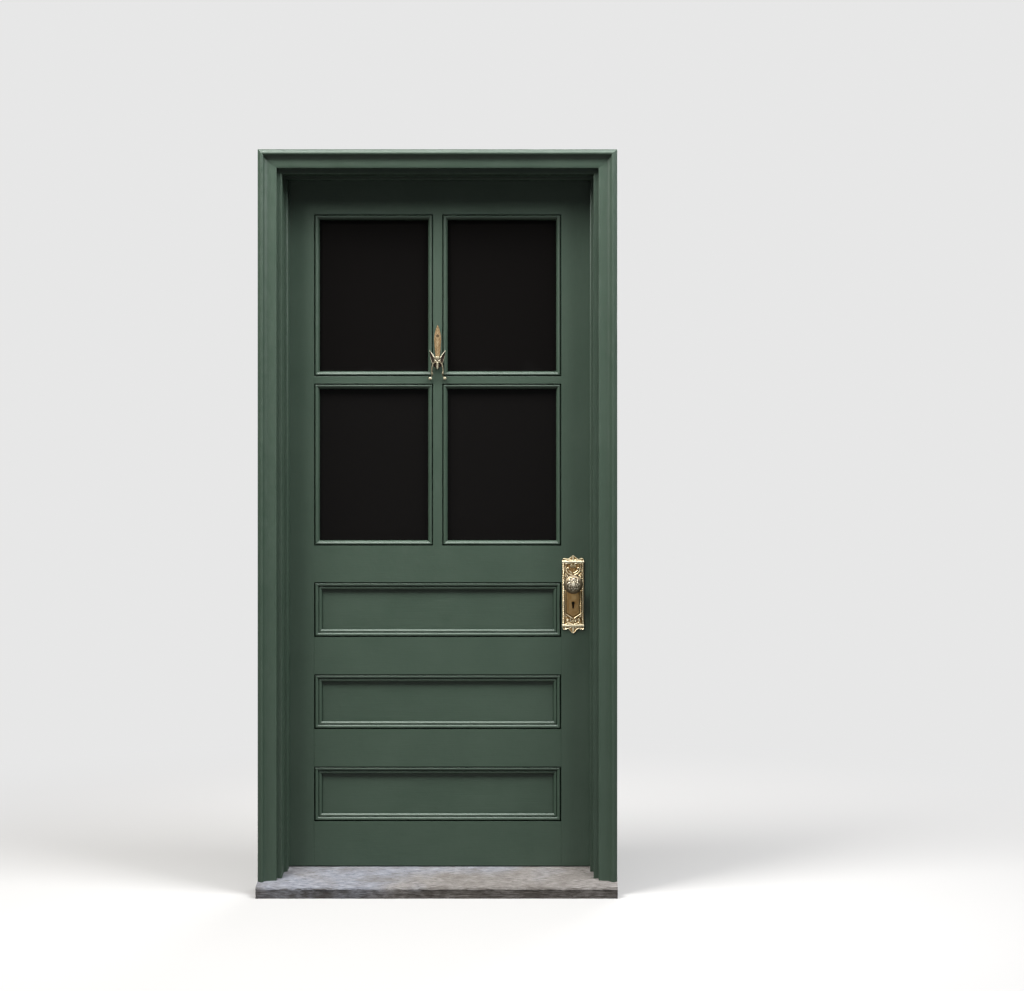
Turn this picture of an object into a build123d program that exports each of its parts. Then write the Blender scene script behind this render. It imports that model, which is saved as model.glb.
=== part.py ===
from build123d import *
import math
import os

# A panelled and glazed front door hung in its frame. Sizes are in millimetres.
# X runs across the door from the hinges to the lock, Y from the street into the house, Z up.
# The origin lies under the sill, midway between the jambs, in the plane of the leaf's outer face.

os.makedirs("parts", exist_ok=True)

# Leaf: stiles and rails as the photograph shows them, wider on the lock side
leaf_width = 914.0
leaf_height = 2030.0
leaf_thickness = 44.5
leaf_gap = 3.0
hinge_stile_width = 87.0
lock_stile_width = 98.5
top_rail_width = 111.0
glazing_from_bottom = 943.0
lock_rail_width = 108.0
middle_rail_width = 110.0
bottom_rail_width = 130.5
panel_count = 3
arris = 1.5

# Joints between stiles, rails and panels
groove_width = 12.5
groove_depth = 12.0
groove_play = 0.15
panel_float = 1.5
panel_recess = 13.0
tenon_length = 55.0
tenon_relish = 14.0
outer_relish = 30.0
mortise_gap = 2.0
stub_length = 9.0
stub_thickness = 12.0
stub_cheek = 4.0

# Glazing
glass_recess = 18.0
glass_thickness = 3.0
glass_play = 2.0
lip_width = 12.0
lip_round = 7.0
upright_muntin_width = 27.0
cross_muntin_width = 22.0
bead_width = 15.0
bead_quirk = 3.0
bead_quirk_depth = 6.0
bead_below_face = 1.0

# Planted panel moulding
moulding_width = 24.0
moulding_quirk = 3.5
moulding_quirk_depth = 6.0
moulding_step = 5.8
moulding_below_face = 0.6
mitre_kerf = 0.1

# Frame
sill_height = 62.0
sill_projection = 150.0
sill_slope = 11.1
sill_flat = 5.0
nose_round = 12.0
kerf_setback = 14.0
kerf_width = 6.0
kerf_depth = 5.0
jamb_thickness = 24.0
rebate_depth = 8.0
jamb_projection = 88.0
housing_depth = 12.0
stop_clearance = 1.0
stop_thickness = 9.0
stop_width = 38.0
stop_round = 2.0
casing_width = 54.0
casing_edge = 15.0
casing_ridge = 29.0
casing_flat_width = 27.0
casing_reveal = 14.0

# Butt hinges
hinge_height = 102.0
hinge_plate = 2.5
hinge_reach = 44.0
hinge_from_top = 229.0
hinge_from_bottom = 331.0
knuckle_radius = 6.0
knuckle_count = 5
knuckle_gap = 0.3
pin_radius = 3.2
pin_play = 0.05
pin_from_face = 6.5
pin_tip_radius = 4.5
hinge_screw_length = 20.0
stile_screw_length = 30.0

# Screws
screw_radius = 2.2
screw_head_radius = 4.2
screw_play = 0.1

# Mortise lock
backset = 63.6
knob_below_glazing = 111.0
keyhole_drop = 64.0
case_depth = 81.0
case_thickness = 16.0
case_above_knob = 35.0
case_below_keyhole = 38.0
case_spare = 6.0
case_corner = 4.0
face_width = 20.0
face_thickness = 2.5
face_overhang = 15.0
lock_screw_inset = 7.0
lock_screw_length = 24.0
hub_radius = 11.15
hub_play = 0.05
hub_thickness = 15.4
spindle_side = 8.0
bolt_play = 0.2
bolt_thickness = 12.0
latch_height = 20.0
latch_throw = 12.0
latch_length = 50.0
latch_bevel = 10.5
bolt_height = 26.0
bolt_throw = 13.0
bolt_length = 56.0
bolt_setback = 0.5
shank_hole_radius = 10.0
key_radius = 4.0
key_slot_width = 4.4
key_above = 5.5
key_below = 9.5

# Strike plate
strike_thickness = 2.0
strike_width = 34.5
strike_play = 1.5
pocket_spare = 7.5
strike_lip = 7.0

# Door plates
plate_width = 64.0
plate_body_height = 195.0
plate_above_knob = 67.0
plate_base = 3.0
plate_rim = 1.6
plate_rim_width = 4.0
plate_bar = 7.0
plate_bar_rise = 2.5
plate_top_crest = 15.0
plate_bottom_crest = 22.0
shield_width = 37.0
shield_rise = 1.2
shield_top_drop = 20.0
shield_point = 44.0
shield_shoulder = 32.0
collar_radius = 13.0
plate_screw_inset = 17.0
plate_screw_length = 16.0
shank_radius = 8.0
shank_play = 0.4

# Knobs
knob_radius = 28.0
knob_projection = 62.0
knob_crown = 20.0
knob_dome_rise = 7.5
knob_boss_radius = 7.0
knob_boss_rise = 1.5
knob_neck_radius = 9.0
knob_foot_radius = 12.0
knob_foot_gap = 0.4

# Knocker
knocker_pin_rise = 66.0
knocker_leaf_length = 95.0
knocker_leaf_width = 21.0
knocker_leaf_thickness = 3.0
knocker_axis_out = 9.0
knocker_pin_radius = 1.5
knocker_pin_play = 0.05
knocker_ear_gap = 0.3
knocker_ear_width = 3.0
knocker_eye_width = 6.0
knocker_eye_radius = 4.0
knocker_body_width = 30.0
knocker_body_height = 30.0
knocker_body_depth = 11.0
knocker_body_shares = (0.75, 1.0, 0.75, 0.25)
knocker_leg_spread = 21.5
knocker_leg_drop = 62.0
knocker_ball_radius = 5.0
knocker_leg_radius = 2.2
knocker_horn_spread = 24.0
knocker_horn_rise = 20.0
knocker_rest_gap = 0.3
knocker_screw_rise = 64.0
knocker_screw_length = 20.0

# Positions that follow from the sizes
leaf_left = -leaf_width / 2
leaf_right = leaf_width / 2
leaf_bottom = sill_height + leaf_gap
leaf_top = leaf_bottom + leaf_height
leaf_middle = leaf_thickness / 2
opening_left = leaf_left + hinge_stile_width
opening_right = leaf_right - lock_stile_width
opening_width = opening_right - opening_left
opening_middle = (opening_left + opening_right) / 2
glazed_top = leaf_top - top_rail_width
glazed_bottom = leaf_bottom + glazing_from_bottom
glazed_height = glazed_top - glazed_bottom
glazed_middle = (glazed_top + glazed_bottom) / 2
lock_rail_bottom = glazed_bottom - lock_rail_width
panels_height = lock_rail_bottom - leaf_bottom - bottom_rail_width - (panel_count - 1) * middle_rail_width
panel_opening_height = panels_height / panel_count
panel_pitch = panel_opening_height + middle_rail_width
panel_tops = [lock_rail_bottom - i * panel_pitch for i in range(panel_count)]
panel_bottoms = [top - panel_opening_height for top in panel_tops]
groove_front = leaf_middle - groove_width / 2
glass_back = glass_recess + glass_thickness
web_x = (opening_middle - upright_muntin_width / 2, opening_middle + upright_muntin_width / 2)
web_z = (glazed_middle - cross_muntin_width / 2, glazed_middle + cross_muntin_width / 2)
stub_y = (stub_cheek, stub_cheek + stub_thickness)

rebate_face = leaf_right + leaf_gap
jamb_inner = rebate_face - rebate_depth
jamb_outer = rebate_face + jamb_thickness
frame_front = -jamb_projection
head_rebate = leaf_top + leaf_gap
head_inner = head_rebate - rebate_depth
head_outer = head_rebate + jamb_thickness
head_stop_bottom = head_inner - stop_thickness
casing_inner = jamb_inner + casing_reveal
casing_outer = casing_inner + casing_width
head_casing_inner = head_inner + casing_reveal
head_casing_outer = head_casing_inner + casing_width

pin_x = -(leaf_right + leaf_gap / 2)
pin_y = leaf_thickness + pin_from_face
hinge_heights = [leaf_top - hinge_from_top, (leaf_top - hinge_from_top + leaf_bottom + hinge_from_bottom) / 2,
                 leaf_bottom + hinge_from_bottom]
hinge_names = ["top", "middle", "bottom"]

lock_x = leaf_right - backset
knob_z = glazed_bottom - knob_below_glazing
keyhole_z = knob_z - keyhole_drop
case_top = knob_z + case_above_knob
case_bottom = keyhole_z - case_below_keyhole
case_right = leaf_right - face_thickness
case_left = case_right - case_depth
case_front = leaf_middle - case_thickness / 2
face_top = case_top + face_overhang
face_bottom = case_bottom - face_overhang
lock_screw_heights = [face_bottom + lock_screw_inset, face_top - lock_screw_inset]
plate_top = knob_z + plate_above_knob
plate_bottom = plate_top - plate_body_height
plate_face = plate_base + plate_bar_rise

pin_height = glazed_middle + knocker_pin_rise
knocker_screw_place = Plane(origin=(opening_middle, -knocker_leaf_thickness, pin_height + knocker_screw_rise),
                            z_dir=(0, -1, 0))


def finish(piece, name):
    """Names a finished piece and writes it to its own file."""
    piece.part.label = name
    export_step(piece.part, f"parts/{name}.step")


def block(x_range, y_range, z_range, mode=Mode.ADD):
    """Adds or cuts the block between two limits on each axis, in the piece being made."""
    limits = (x_range, y_range, z_range)
    with Locations(tuple((low + high) / 2 for low, high in limits)):
        Box(*(high - low for low, high in limits), mode=mode)


# Sill: a sloping board with a flat under the leaf, a rounded nose and a drip kerf
nose_drop = math.tan(math.radians(sill_slope)) * (sill_projection - sill_flat)
with BuildPart() as sill:
    with BuildSketch(Plane.YZ.offset(-casing_outer)):
        with BuildLine():
            Polyline(
                (leaf_thickness, 0),
                (leaf_thickness, sill_height),
                (-sill_flat, sill_height),
                (-sill_projection, sill_height - nose_drop),
                (-sill_projection, 0),
                close=True,
            )
        make_face()
        fillet(vertices().group_by(Axis.X)[0], radius=nose_round)
        with Locations((kerf_setback - sill_projection, 0)):
            Rectangle(kerf_width, kerf_depth, align=(Align.MIN, Align.MIN), mode=Mode.SUBTRACT)
    extrude(amount=2 * casing_outer)
finish(sill, "sill")


# Head jamb: rebated board whose ends are let into the side jambs
housing_end = jamb_outer - housing_depth
with BuildPart() as head_jamb:
    with BuildSketch(Plane.YZ.offset(-housing_end)):
        with BuildLine():
            Polyline(
                (frame_front, head_inner),
                (frame_front, head_outer),
                (leaf_thickness, head_outer),
                (leaf_thickness, head_rebate),
                (-stop_clearance, head_rebate),
                (-stop_clearance, head_inner),
                close=True,
            )
        make_face()
    extrude(amount=2 * housing_end)
finish(head_jamb, "head_jamb")


def jamb_section(side):
    """A side jamb in plan: thick in front, thinner where the leaf shuts into it."""
    with BuildSketch() as section:
        with BuildLine():
            Polyline(
                (side * jamb_inner, frame_front),
                (side * jamb_outer, frame_front),
                (side * jamb_outer, leaf_thickness),
                (side * rebate_face, leaf_thickness),
                (side * rebate_face, -stop_clearance),
                (side * jamb_inner, -stop_clearance),
                close=True,
            )
        make_face()
    return section.sketch


def hinge_screw_places(face_x, outward):
    """Planes on a hinge plate where its four screws enter, staggered, for all three hinges."""
    places = []
    for height in hinge_heights:
        for row, rise in enumerate((-0.37, -0.13, 0.13, 0.37)):
            inset = 0.28 if row % 2 else 0.62
            y = pin_y - hinge_reach * (1 - inset) - hinge_reach * 0.1
            places.append(Plane(origin=(face_x, y, height + rise * hinge_height), z_dir=(outward, 0, 0)))
    return places


frame_screw_places = hinge_screw_places(-rebate_face, 1)
leaf_screw_places = hinge_screw_places(leaf_left, -1)
plate_end = pin_y - knuckle_radius - knuckle_gap
gain_front = pin_y - hinge_reach


def pilot_holes(places, length):
    """Cuts a hole for each screw's shank, straight in from its plane."""
    with Locations(*places):
        Cylinder(
            screw_radius + screw_play, length + mortise_gap,
            align=(Align.CENTER, Align.CENTER, Align.MAX), mode=Mode.SUBTRACT,
        )


# Left jamb: carries the hinges, whose plates are let in flush
with BuildPart() as left_jamb:
    extrude(jamb_section(-1), amount=head_outer)
    add(sill.part, mode=Mode.SUBTRACT)
    add(head_jamb.part, mode=Mode.SUBTRACT)
    for height in hinge_heights:
        block((-rebate_face - hinge_plate, -rebate_face), (gain_front, leaf_thickness),
              (height - hinge_height / 2, height + hinge_height / 2), Mode.SUBTRACT)
    pilot_holes(frame_screw_places, hinge_screw_length)
finish(left_jamb, "left_jamb")

# Right jamb: carries the strike plate, with pockets behind it for the latch and the dead bolt
strike_front = leaf_thickness - strike_width
pocket_end = leaf_right - bolt_setback + bolt_throw + pocket_spare
pocket_y = (leaf_middle - bolt_thickness / 2 - strike_play, leaf_middle + bolt_thickness / 2 + strike_play)
latch_pocket_z = (knob_z - latch_height / 2 - strike_play, knob_z + latch_height / 2 + strike_play)
bolt_pocket_z = (keyhole_z - bolt_height / 2 - strike_play, keyhole_z + bolt_height / 2 + strike_play)
strike_back = rebate_face + strike_thickness
strike_screw_places = [Plane(origin=(rebate_face, leaf_middle, z), z_dir=(-1, 0, 0))
                       for z in lock_screw_heights]
with BuildPart() as right_jamb:
    extrude(jamb_section(1), amount=head_outer)
    add(sill.part, mode=Mode.SUBTRACT)
    add(head_jamb.part, mode=Mode.SUBTRACT)
    block((rebate_face, strike_back), (strike_front, leaf_thickness), (face_bottom, face_top), Mode.SUBTRACT)
    for pocket_z in (latch_pocket_z, bolt_pocket_z):
        block((strike_back, pocket_end), pocket_y, pocket_z, Mode.SUBTRACT)
    pilot_holes(strike_screw_places, hinge_screw_length)
finish(right_jamb, "right_jamb")


# Stops: planted on the jambs in front of the leaf
stop_front = -stop_clearance - stop_width
with BuildPart() as head_stop:
    with BuildSketch(Plane.YZ.offset(-jamb_inner)):
        with Locations((stop_front, head_stop_bottom)):
            Rectangle(stop_width, stop_thickness, align=(Align.MIN, Align.MIN))
        fillet(vertices().group_by(Axis.Y)[0], radius=stop_round)
    extrude(amount=2 * jamb_inner)
finish(head_stop, "head_stop")

with BuildPart() as left_stop:
    with BuildSketch():
        with Locations((-jamb_inner, stop_front)):
            Rectangle(stop_thickness, stop_width, align=(Align.MIN, Align.MIN))
        fillet(vertices().group_by(Axis.X)[-1], radius=stop_round)
    extrude(amount=head_stop_bottom)
    add(sill.part, mode=Mode.SUBTRACT)
finish(left_stop, "left_stop")

with BuildPart() as right_stop:
    mirror(left_stop.part, about=Plane.YZ)
finish(right_stop, "right_stop")


def casing_section(plane):
    """Brick moulding in section: flat face, hollow, ridge and a rounded fall to the outer edge."""
    rise = casing_ridge - casing_edge
    ridge_start = casing_flat_width + 0.75 * rise
    with BuildSketch(plane) as section:
        with BuildLine():
            flat = Polyline((0, 0), (0, casing_edge - arris), (arris, casing_edge),
                            (casing_flat_width, casing_edge + arris))
            hollow = ThreePointArc(flat @ 1, (casing_flat_width + 0.5 * rise, casing_edge + 0.45 * rise),
                                   (ridge_start, casing_edge + 0.9 * rise))
            ridge = ThreePointArc(hollow @ 1, (ridge_start + 0.3 * rise, casing_ridge),
                                  (casing_width - 0.5 * rise, casing_edge + 0.8 * rise))
            fall = ThreePointArc(ridge @ 1, (casing_width - 0.15 * rise, casing_edge + 0.55 * rise),
                                 (casing_width, casing_edge + 0.2 * rise))
            Polyline(fall @ 1, (casing_width, 0), (0, 0))
        make_face()
    return section.sketch


# Casings: brick mouldings nailed over the front edges of the jambs, mitred at the top corners
with BuildPart() as left_casing:
    extrude(
        casing_section(Plane(origin=(-casing_inner, frame_front, 0), x_dir=(-1, 0, 0), z_dir=(0, 0, 1))),
        amount=head_casing_outer,
    )
    add(sill.part, mode=Mode.SUBTRACT)
    split(bisect_by=Plane(origin=(-casing_inner, 0, head_casing_inner), z_dir=(-1, 0, -1)), keep=Keep.TOP)
finish(left_casing, "left_casing")

with BuildPart() as right_casing:
    mirror(left_casing.part, about=Plane.YZ)
finish(right_casing, "right_casing")

with BuildPart() as head_casing:
    head_start = (-casing_outer, frame_front, head_casing_inner)
    extrude(casing_section(Plane(origin=head_start, x_dir=(0, 0, 1), z_dir=(1, 0, 0))),
            amount=2 * casing_outer)
    split(bisect_by=Plane(origin=(-casing_inner, 0, head_casing_inner), z_dir=(1, 0, 1)), keep=Keep.TOP)
    split(bisect_by=Plane(origin=(casing_inner, 0, head_casing_inner), z_dir=(-1, 0, 1)), keep=Keep.TOP)
finish(head_casing, "head_casing")

# Strike plate: flush in the right jamb, with a lip that bends back round the jamb's edge
with BuildPart() as strike_plate:
    block((rebate_face, strike_back), (strike_front, leaf_thickness), (face_bottom, face_top))
    with BuildSketch(Plane.XY.offset(latch_pocket_z[0])):
        with BuildLine():
            lip_face = ThreePointArc(
                (rebate_face, leaf_thickness),
                (rebate_face + 0.12 * strike_lip, leaf_thickness + 0.5 * strike_lip),
                (rebate_face + 0.5 * strike_lip, leaf_thickness + strike_lip),
            )
            Line(lip_face @ 1, lip_face @ 1 + Vector(0.9 * strike_thickness, -0.5 * strike_thickness))
            ThreePointArc(
                lip_face @ 1 + Vector(0.9 * strike_thickness, -0.5 * strike_thickness),
                (rebate_face + 0.12 * strike_lip + strike_thickness, leaf_thickness + 0.4 * strike_lip),
                (strike_back, leaf_thickness),
            )
            Line((strike_back, leaf_thickness), (rebate_face, leaf_thickness))
        make_face()
    extrude(amount=latch_pocket_z[1] - latch_pocket_z[0])
    for pocket_z in (latch_pocket_z, bolt_pocket_z):
        block((rebate_face - 1, strike_back + 1), pocket_y, pocket_z, Mode.SUBTRACT)
    with Locations(*strike_screw_places):
        CounterSinkHole(screw_radius + screw_play, screw_head_radius + screw_play, depth=2 * strike_thickness,
                        counter_sink_angle=90)
finish(strike_plate, "strike_plate")


def screws(places, length):
    """Countersunk screws, heads flush with their planes."""
    head_height = screw_head_radius - screw_radius
    with BuildPart() as group:
        with Locations(*places):
            Cylinder(screw_radius, length, align=(Align.CENTER, Align.CENTER, Align.MAX))
            Cone(screw_radius, screw_head_radius, head_height, align=(Align.CENTER, Align.CENTER, Align.MAX))
    return group


finish(screws(strike_screw_places, hinge_screw_length), "strike_screws")
finish(screws(frame_screw_places, hinge_screw_length), "frame_hinge_screws")
finish(screws(leaf_screw_places, stile_screw_length), "leaf_hinge_screws")

# Hinge leaves: plate and knuckles, three knuckles on the frame's leaf and two on the door's
knuckle_length = (hinge_height - (knuckle_count - 1) * knuckle_gap) / knuckle_count
knuckle_pitch = knuckle_length + knuckle_gap


def hinge_leaf(side, height, knuckles, places):
    """One half of a butt hinge. Side -1 is let into the jamb, side 1 into the edge of the leaf."""
    face = -rebate_face if side < 0 else leaf_left
    back = face + side * hinge_plate
    plate_x = (min(face, back), max(face, back))
    low = height - hinge_height / 2
    with BuildPart() as leaf:
        block(plate_x, (gain_front, plate_end), (low, low + hinge_height))
        for knuckle in knuckles:
            bottom = low + knuckle * knuckle_pitch
            block(plate_x, (plate_end, pin_y), (bottom, bottom + knuckle_length))
            with Locations((pin_x, pin_y, bottom)):
                Cylinder(knuckle_radius, knuckle_length, align=(Align.CENTER, Align.CENTER, Align.MIN))
        with Locations((pin_x, pin_y, low)):
            Cylinder(pin_radius + pin_play, hinge_height, align=(Align.CENTER, Align.CENTER, Align.MIN),
                     mode=Mode.SUBTRACT)
        with Locations(*places):
            CounterSinkHole(screw_radius + screw_play, screw_head_radius + screw_play, depth=2 * hinge_plate,
                            counter_sink_angle=90)
    return leaf


for index, name in enumerate(hinge_names):
    own_places = slice(4 * index, 4 * index + 4)
    finish(hinge_leaf(-1, hinge_heights[index], range(0, knuckle_count, 2), frame_screw_places[own_places]),
           f"{name}_hinge_frame_leaf")
    finish(hinge_leaf(1, hinge_heights[index], range(1, knuckle_count, 2), leaf_screw_places[own_places]),
           f"{name}_hinge_door_leaf")

# Hinge pins: loose pins with a ball tip above and below the knuckles
with BuildPart() as hinge_pins:
    for height in hinge_heights:
        with Locations((pin_x, pin_y, height)):
            Cylinder(pin_radius, hinge_height)
        for end in (-1, 1):
            with Locations((pin_x, pin_y, height + end * (hinge_height / 2 + pin_tip_radius))):
                Sphere(pin_tip_radius)
            seat = height + end * (hinge_height / 2 + pin_tip_radius / 4)
            with Locations((pin_x, pin_y, seat)):
                Cylinder(pin_tip_radius, pin_tip_radius / 2)
finish(hinge_pins, "hinge_pins")


def tenon_section(x, low, high):
    """A tenon's end in the plane where it leaves its shoulder."""
    with BuildSketch(Plane.YZ.offset(x)) as section:
        with Locations((groove_front, low)):
            Rectangle(groove_width, high - low, align=(Align.MIN, Align.MIN))
    return section.sketch


def lip_section(plane):
    """The lip behind the glass. Local x runs from the opening's edge towards the glass, local y is +Y."""
    with BuildSketch(plane) as section:
        with Locations((0, glass_back)):
            Rectangle(lip_width, leaf_thickness - glass_back, align=(Align.MIN, Align.MIN))
        fillet(vertices().sort_by(lambda corner: corner.X + corner.Y)[-1], radius=lip_round)
    return section.sketch


def make_rail(bottom, top, tenon_low, tenon_high, lock_tenon_low, groove_edges, lip_edge, lip_up):
    """A rail: its section between the stiles, a tenon at each end, panel grooves and a glazing lip."""
    with BuildPart() as rail:
        with BuildSketch(Plane.YZ.offset(opening_left)):
            with Locations((0, bottom)):
                Rectangle(leaf_thickness, top - bottom, align=(Align.MIN, Align.MIN))
            for edge in groove_edges:
                with Locations((leaf_middle, edge)):
                    Rectangle(groove_width, 2 * groove_depth, mode=Mode.SUBTRACT)
        extrude(amount=opening_width)
        extrude(tenon_section(opening_left, tenon_low, tenon_high), amount=tenon_length, dir=(-1, 0, 0))
        extrude(tenon_section(opening_right, lock_tenon_low, tenon_high), amount=tenon_length, dir=(1, 0, 0))
        if lip_edge is not None:
            plane = Plane(origin=(opening_left, 0, lip_edge), x_dir=(0, 0, lip_up), z_dir=(-lip_up, 0, 0))
            extrude(lip_section(plane), amount=opening_width, dir=(1, 0, 0))
            stub_low = lip_edge if lip_up < 0 else lip_edge - stub_length
            block(web_x, stub_y, (stub_low, stub_low + stub_length), Mode.SUBTRACT)
    return rail


# Rails: each is written as its bottom and top, the limits of its tenons, and where its lock-side tenon starts
middle_tenons = [(panel_tops[i + 1] + tenon_relish, panel_bottoms[i] - tenon_relish) for i in (0, 1)]
lock_side_tenon_low = max(lock_rail_bottom + tenon_relish, case_top + case_spare)
rail_limits = {
    "top_rail": (glazed_top, leaf_top, glazed_top + tenon_relish, leaf_top - outer_relish),
    "lock_rail": (lock_rail_bottom, glazed_bottom, lock_rail_bottom + tenon_relish,
                  glazed_bottom - tenon_relish),
    "upper_middle_rail": (panel_tops[1], panel_bottoms[0], *middle_tenons[0]),
    "lower_middle_rail": (panel_tops[2], panel_bottoms[1], *middle_tenons[1]),
    "bottom_rail": (leaf_bottom, panel_bottoms[2], leaf_bottom + outer_relish,
                    panel_bottoms[2] - tenon_relish),
}
lip_edges = {"top_rail": (glazed_top, -1), "lock_rail": (glazed_bottom, 1)}
rails = {}
for name, (bottom, top, tenon_low, tenon_high) in rail_limits.items():
    lock_tenon_low = lock_side_tenon_low if name == "lock_rail" else tenon_low
    groove_edges = [edge for edge in (bottom, top) if edge in panel_tops + panel_bottoms]
    lip_edge, lip_up = lip_edges.get(name, (None, 1))
    rails[name] = make_rail(bottom, top, tenon_low, tenon_high, lock_tenon_low, groove_edges, lip_edge,
                            lip_up)
    finish(rails[name], name)


def mortises(x, inward, lock_side):
    """Cuts a stile's mortises a little deeper than the tenons, and copes its lip round the rails."""
    for name, (_, _, tenon_low, tenon_high) in rail_limits.items():
        low = lock_side_tenon_low if lock_side and name == "lock_rail" else tenon_low
        extrude(tenon_section(x, low, tenon_high), amount=tenon_length + mortise_gap, dir=(inward, 0, 0),
                mode=Mode.SUBTRACT)
        add(rails[name].part, mode=Mode.SUBTRACT)


def stile_blank(x_low, x_high, outer_edge):
    """A stile in plan, its two outer arrises eased."""
    with BuildSketch(Plane.XY.offset(leaf_bottom)) as section:
        with Locations((x_low, 0)):
            Rectangle(x_high - x_low, leaf_thickness, align=(Align.MIN, Align.MIN))
        fillet(section.vertices().group_by(Axis.X)[outer_edge], radius=arris)
    return section.sketch


def panel_grooves(edge):
    """Ploughs a stile's edge beside each panel."""
    for top, bottom in zip(panel_tops, panel_bottoms):
        block((edge - groove_depth, edge + groove_depth), (groove_front, groove_front + groove_width),
              (bottom - groove_depth, top + groove_depth), Mode.SUBTRACT)


def cross_stub(edge, inward, mode=Mode.ADD):
    """The stub tenon on a cross muntin's end, or its mortise."""
    block(sorted((edge, edge + inward * stub_length)), stub_y, web_z, mode)


# Hinge stile
with BuildPart() as hinge_stile:
    extrude(stile_blank(leaf_left, opening_left, 0), amount=leaf_height)
    extrude(lip_section(Plane(origin=(opening_left, 0, glazed_bottom), x_dir=(1, 0, 0), z_dir=(0, 0, 1))),
            amount=glazed_height, dir=(0, 0, 1))
    panel_grooves(opening_left)
    mortises(opening_left, -1, False)
    cross_stub(opening_left, -1, mode=Mode.SUBTRACT)
    for height in hinge_heights:
        block((leaf_left, leaf_left + hinge_plate), (gain_front, leaf_thickness),
              (height - hinge_height / 2, height + hinge_height / 2), Mode.SUBTRACT)
    pilot_holes(leaf_screw_places, stile_screw_length)
finish(hinge_stile, "hinge_stile")

# Lock stile: morticed for the lock case, its faceplate, the knob shanks, the keyhole and the plate screws
plate_screw_heights = [plate_bottom + plate_screw_inset, plate_top - plate_screw_inset]
street_screw_places = [Plane(origin=(lock_x, -plate_base, z), z_dir=(0, -1, 0)) for z in plate_screw_heights]
house_screw_places = [Plane(origin=(lock_x, leaf_thickness + plate_base, z), z_dir=(0, 1, 0))
                      for z in plate_screw_heights]
face_screw_places = [Plane(origin=(leaf_right, leaf_middle, z), z_dir=(1, 0, 0)) for z in lock_screw_heights]
face_y = (leaf_middle - face_width / 2, leaf_middle + face_width / 2)
case_y = (case_front, case_front + case_thickness)
lock_axis = (lock_x, leaf_middle, knob_z)
with BuildPart() as lock_stile:
    extrude(stile_blank(opening_right, leaf_right, -1), amount=leaf_height)
    extrude(lip_section(Plane(origin=(opening_right, 0, glazed_bottom), x_dir=(-1, 0, 0), z_dir=(0, 0, -1))),
            amount=glazed_height, dir=(0, 0, 1))
    panel_grooves(opening_right)
    mortises(opening_right, 1, True)
    cross_stub(opening_right, 1, mode=Mode.SUBTRACT)
    block((case_left, case_right), case_y, (case_bottom, case_top), Mode.SUBTRACT)
    block((case_right, leaf_right), face_y, (face_bottom, face_top), Mode.SUBTRACT)
    with Locations(Location(lock_axis, (90, 0, 0)), Location((lock_x, leaf_middle, keyhole_z), (90, 0, 0))):
        Cylinder(shank_hole_radius, leaf_thickness, mode=Mode.SUBTRACT)
    pilot_holes(face_screw_places, lock_screw_length)
    pilot_holes(street_screw_places + house_screw_places, plate_screw_length)
finish(lock_stile, "lock_stile")

# Upright muntin: tenoned into the rails, its lips coped over theirs
with BuildPart() as upright_muntin:
    block(web_x, (0, leaf_thickness), (glazed_bottom, glazed_top))
    extrude(lip_section(Plane(origin=(web_x[1], 0, glazed_bottom), x_dir=(1, 0, 0), z_dir=(0, 0, 1))),
            amount=glazed_height, dir=(0, 0, 1))
    extrude(lip_section(Plane(origin=(web_x[0], 0, glazed_bottom), x_dir=(-1, 0, 0), z_dir=(0, 0, -1))),
            amount=glazed_height, dir=(0, 0, 1))
    block(web_x, stub_y, (glazed_bottom - stub_length, glazed_top + stub_length))
    add(rails["top_rail"].part, mode=Mode.SUBTRACT)
    add(rails["lock_rail"].part, mode=Mode.SUBTRACT)
    cross_stub(web_x[0], 1, mode=Mode.SUBTRACT)
    cross_stub(web_x[1], -1, mode=Mode.SUBTRACT)
    pilot_holes([knocker_screw_place], knocker_screw_length)
finish(upright_muntin, "upright_muntin")


def make_cross_muntin(low, high, stile):
    """A cross muntin between a stile and the upright muntin, coped over the lips at both ends."""
    with BuildPart() as muntin:
        block((low, high), (0, leaf_thickness), web_z)
        extrude(lip_section(Plane(origin=(low, 0, web_z[1]), x_dir=(0, 0, 1), z_dir=(-1, 0, 0))),
                amount=high - low, dir=(1, 0, 0))
        extrude(lip_section(Plane(origin=(low, 0, web_z[0]), x_dir=(0, 0, -1), z_dir=(1, 0, 0))),
                amount=high - low, dir=(1, 0, 0))
        cross_stub(low, -1)
        cross_stub(high, 1)
        add(stile.part, mode=Mode.SUBTRACT)
        add(upright_muntin.part, mode=Mode.SUBTRACT)
    return muntin


finish(make_cross_muntin(opening_left, web_x[0], hinge_stile), "left_cross_muntin")
finish(make_cross_muntin(web_x[1], opening_right, lock_stile), "right_cross_muntin")


def bead_section(plane):
    """Glazing bead: a quirk beside the frame, then a rounded edge falling to the glass."""
    crown = glass_recess - bead_below_face
    floor = glass_recess - bead_quirk_depth
    with BuildSketch(plane) as section:
        with BuildLine():
            quirk = Polyline((0, 0), (0, floor), (bead_quirk, floor), (bead_quirk, (floor + crown) / 2))
            crest = ThreePointArc(quirk @ 1, (1.7 * bead_quirk, crown), (2.3 * bead_quirk, crown))
            face = ThreePointArc(crest @ 1, (0.83 * bead_width, 0.76 * crown), (bead_width, glass_recess / 3))
            Polyline(face @ 1, (bead_width, 0), (0, 0))
        make_face()
    return section.sketch


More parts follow.
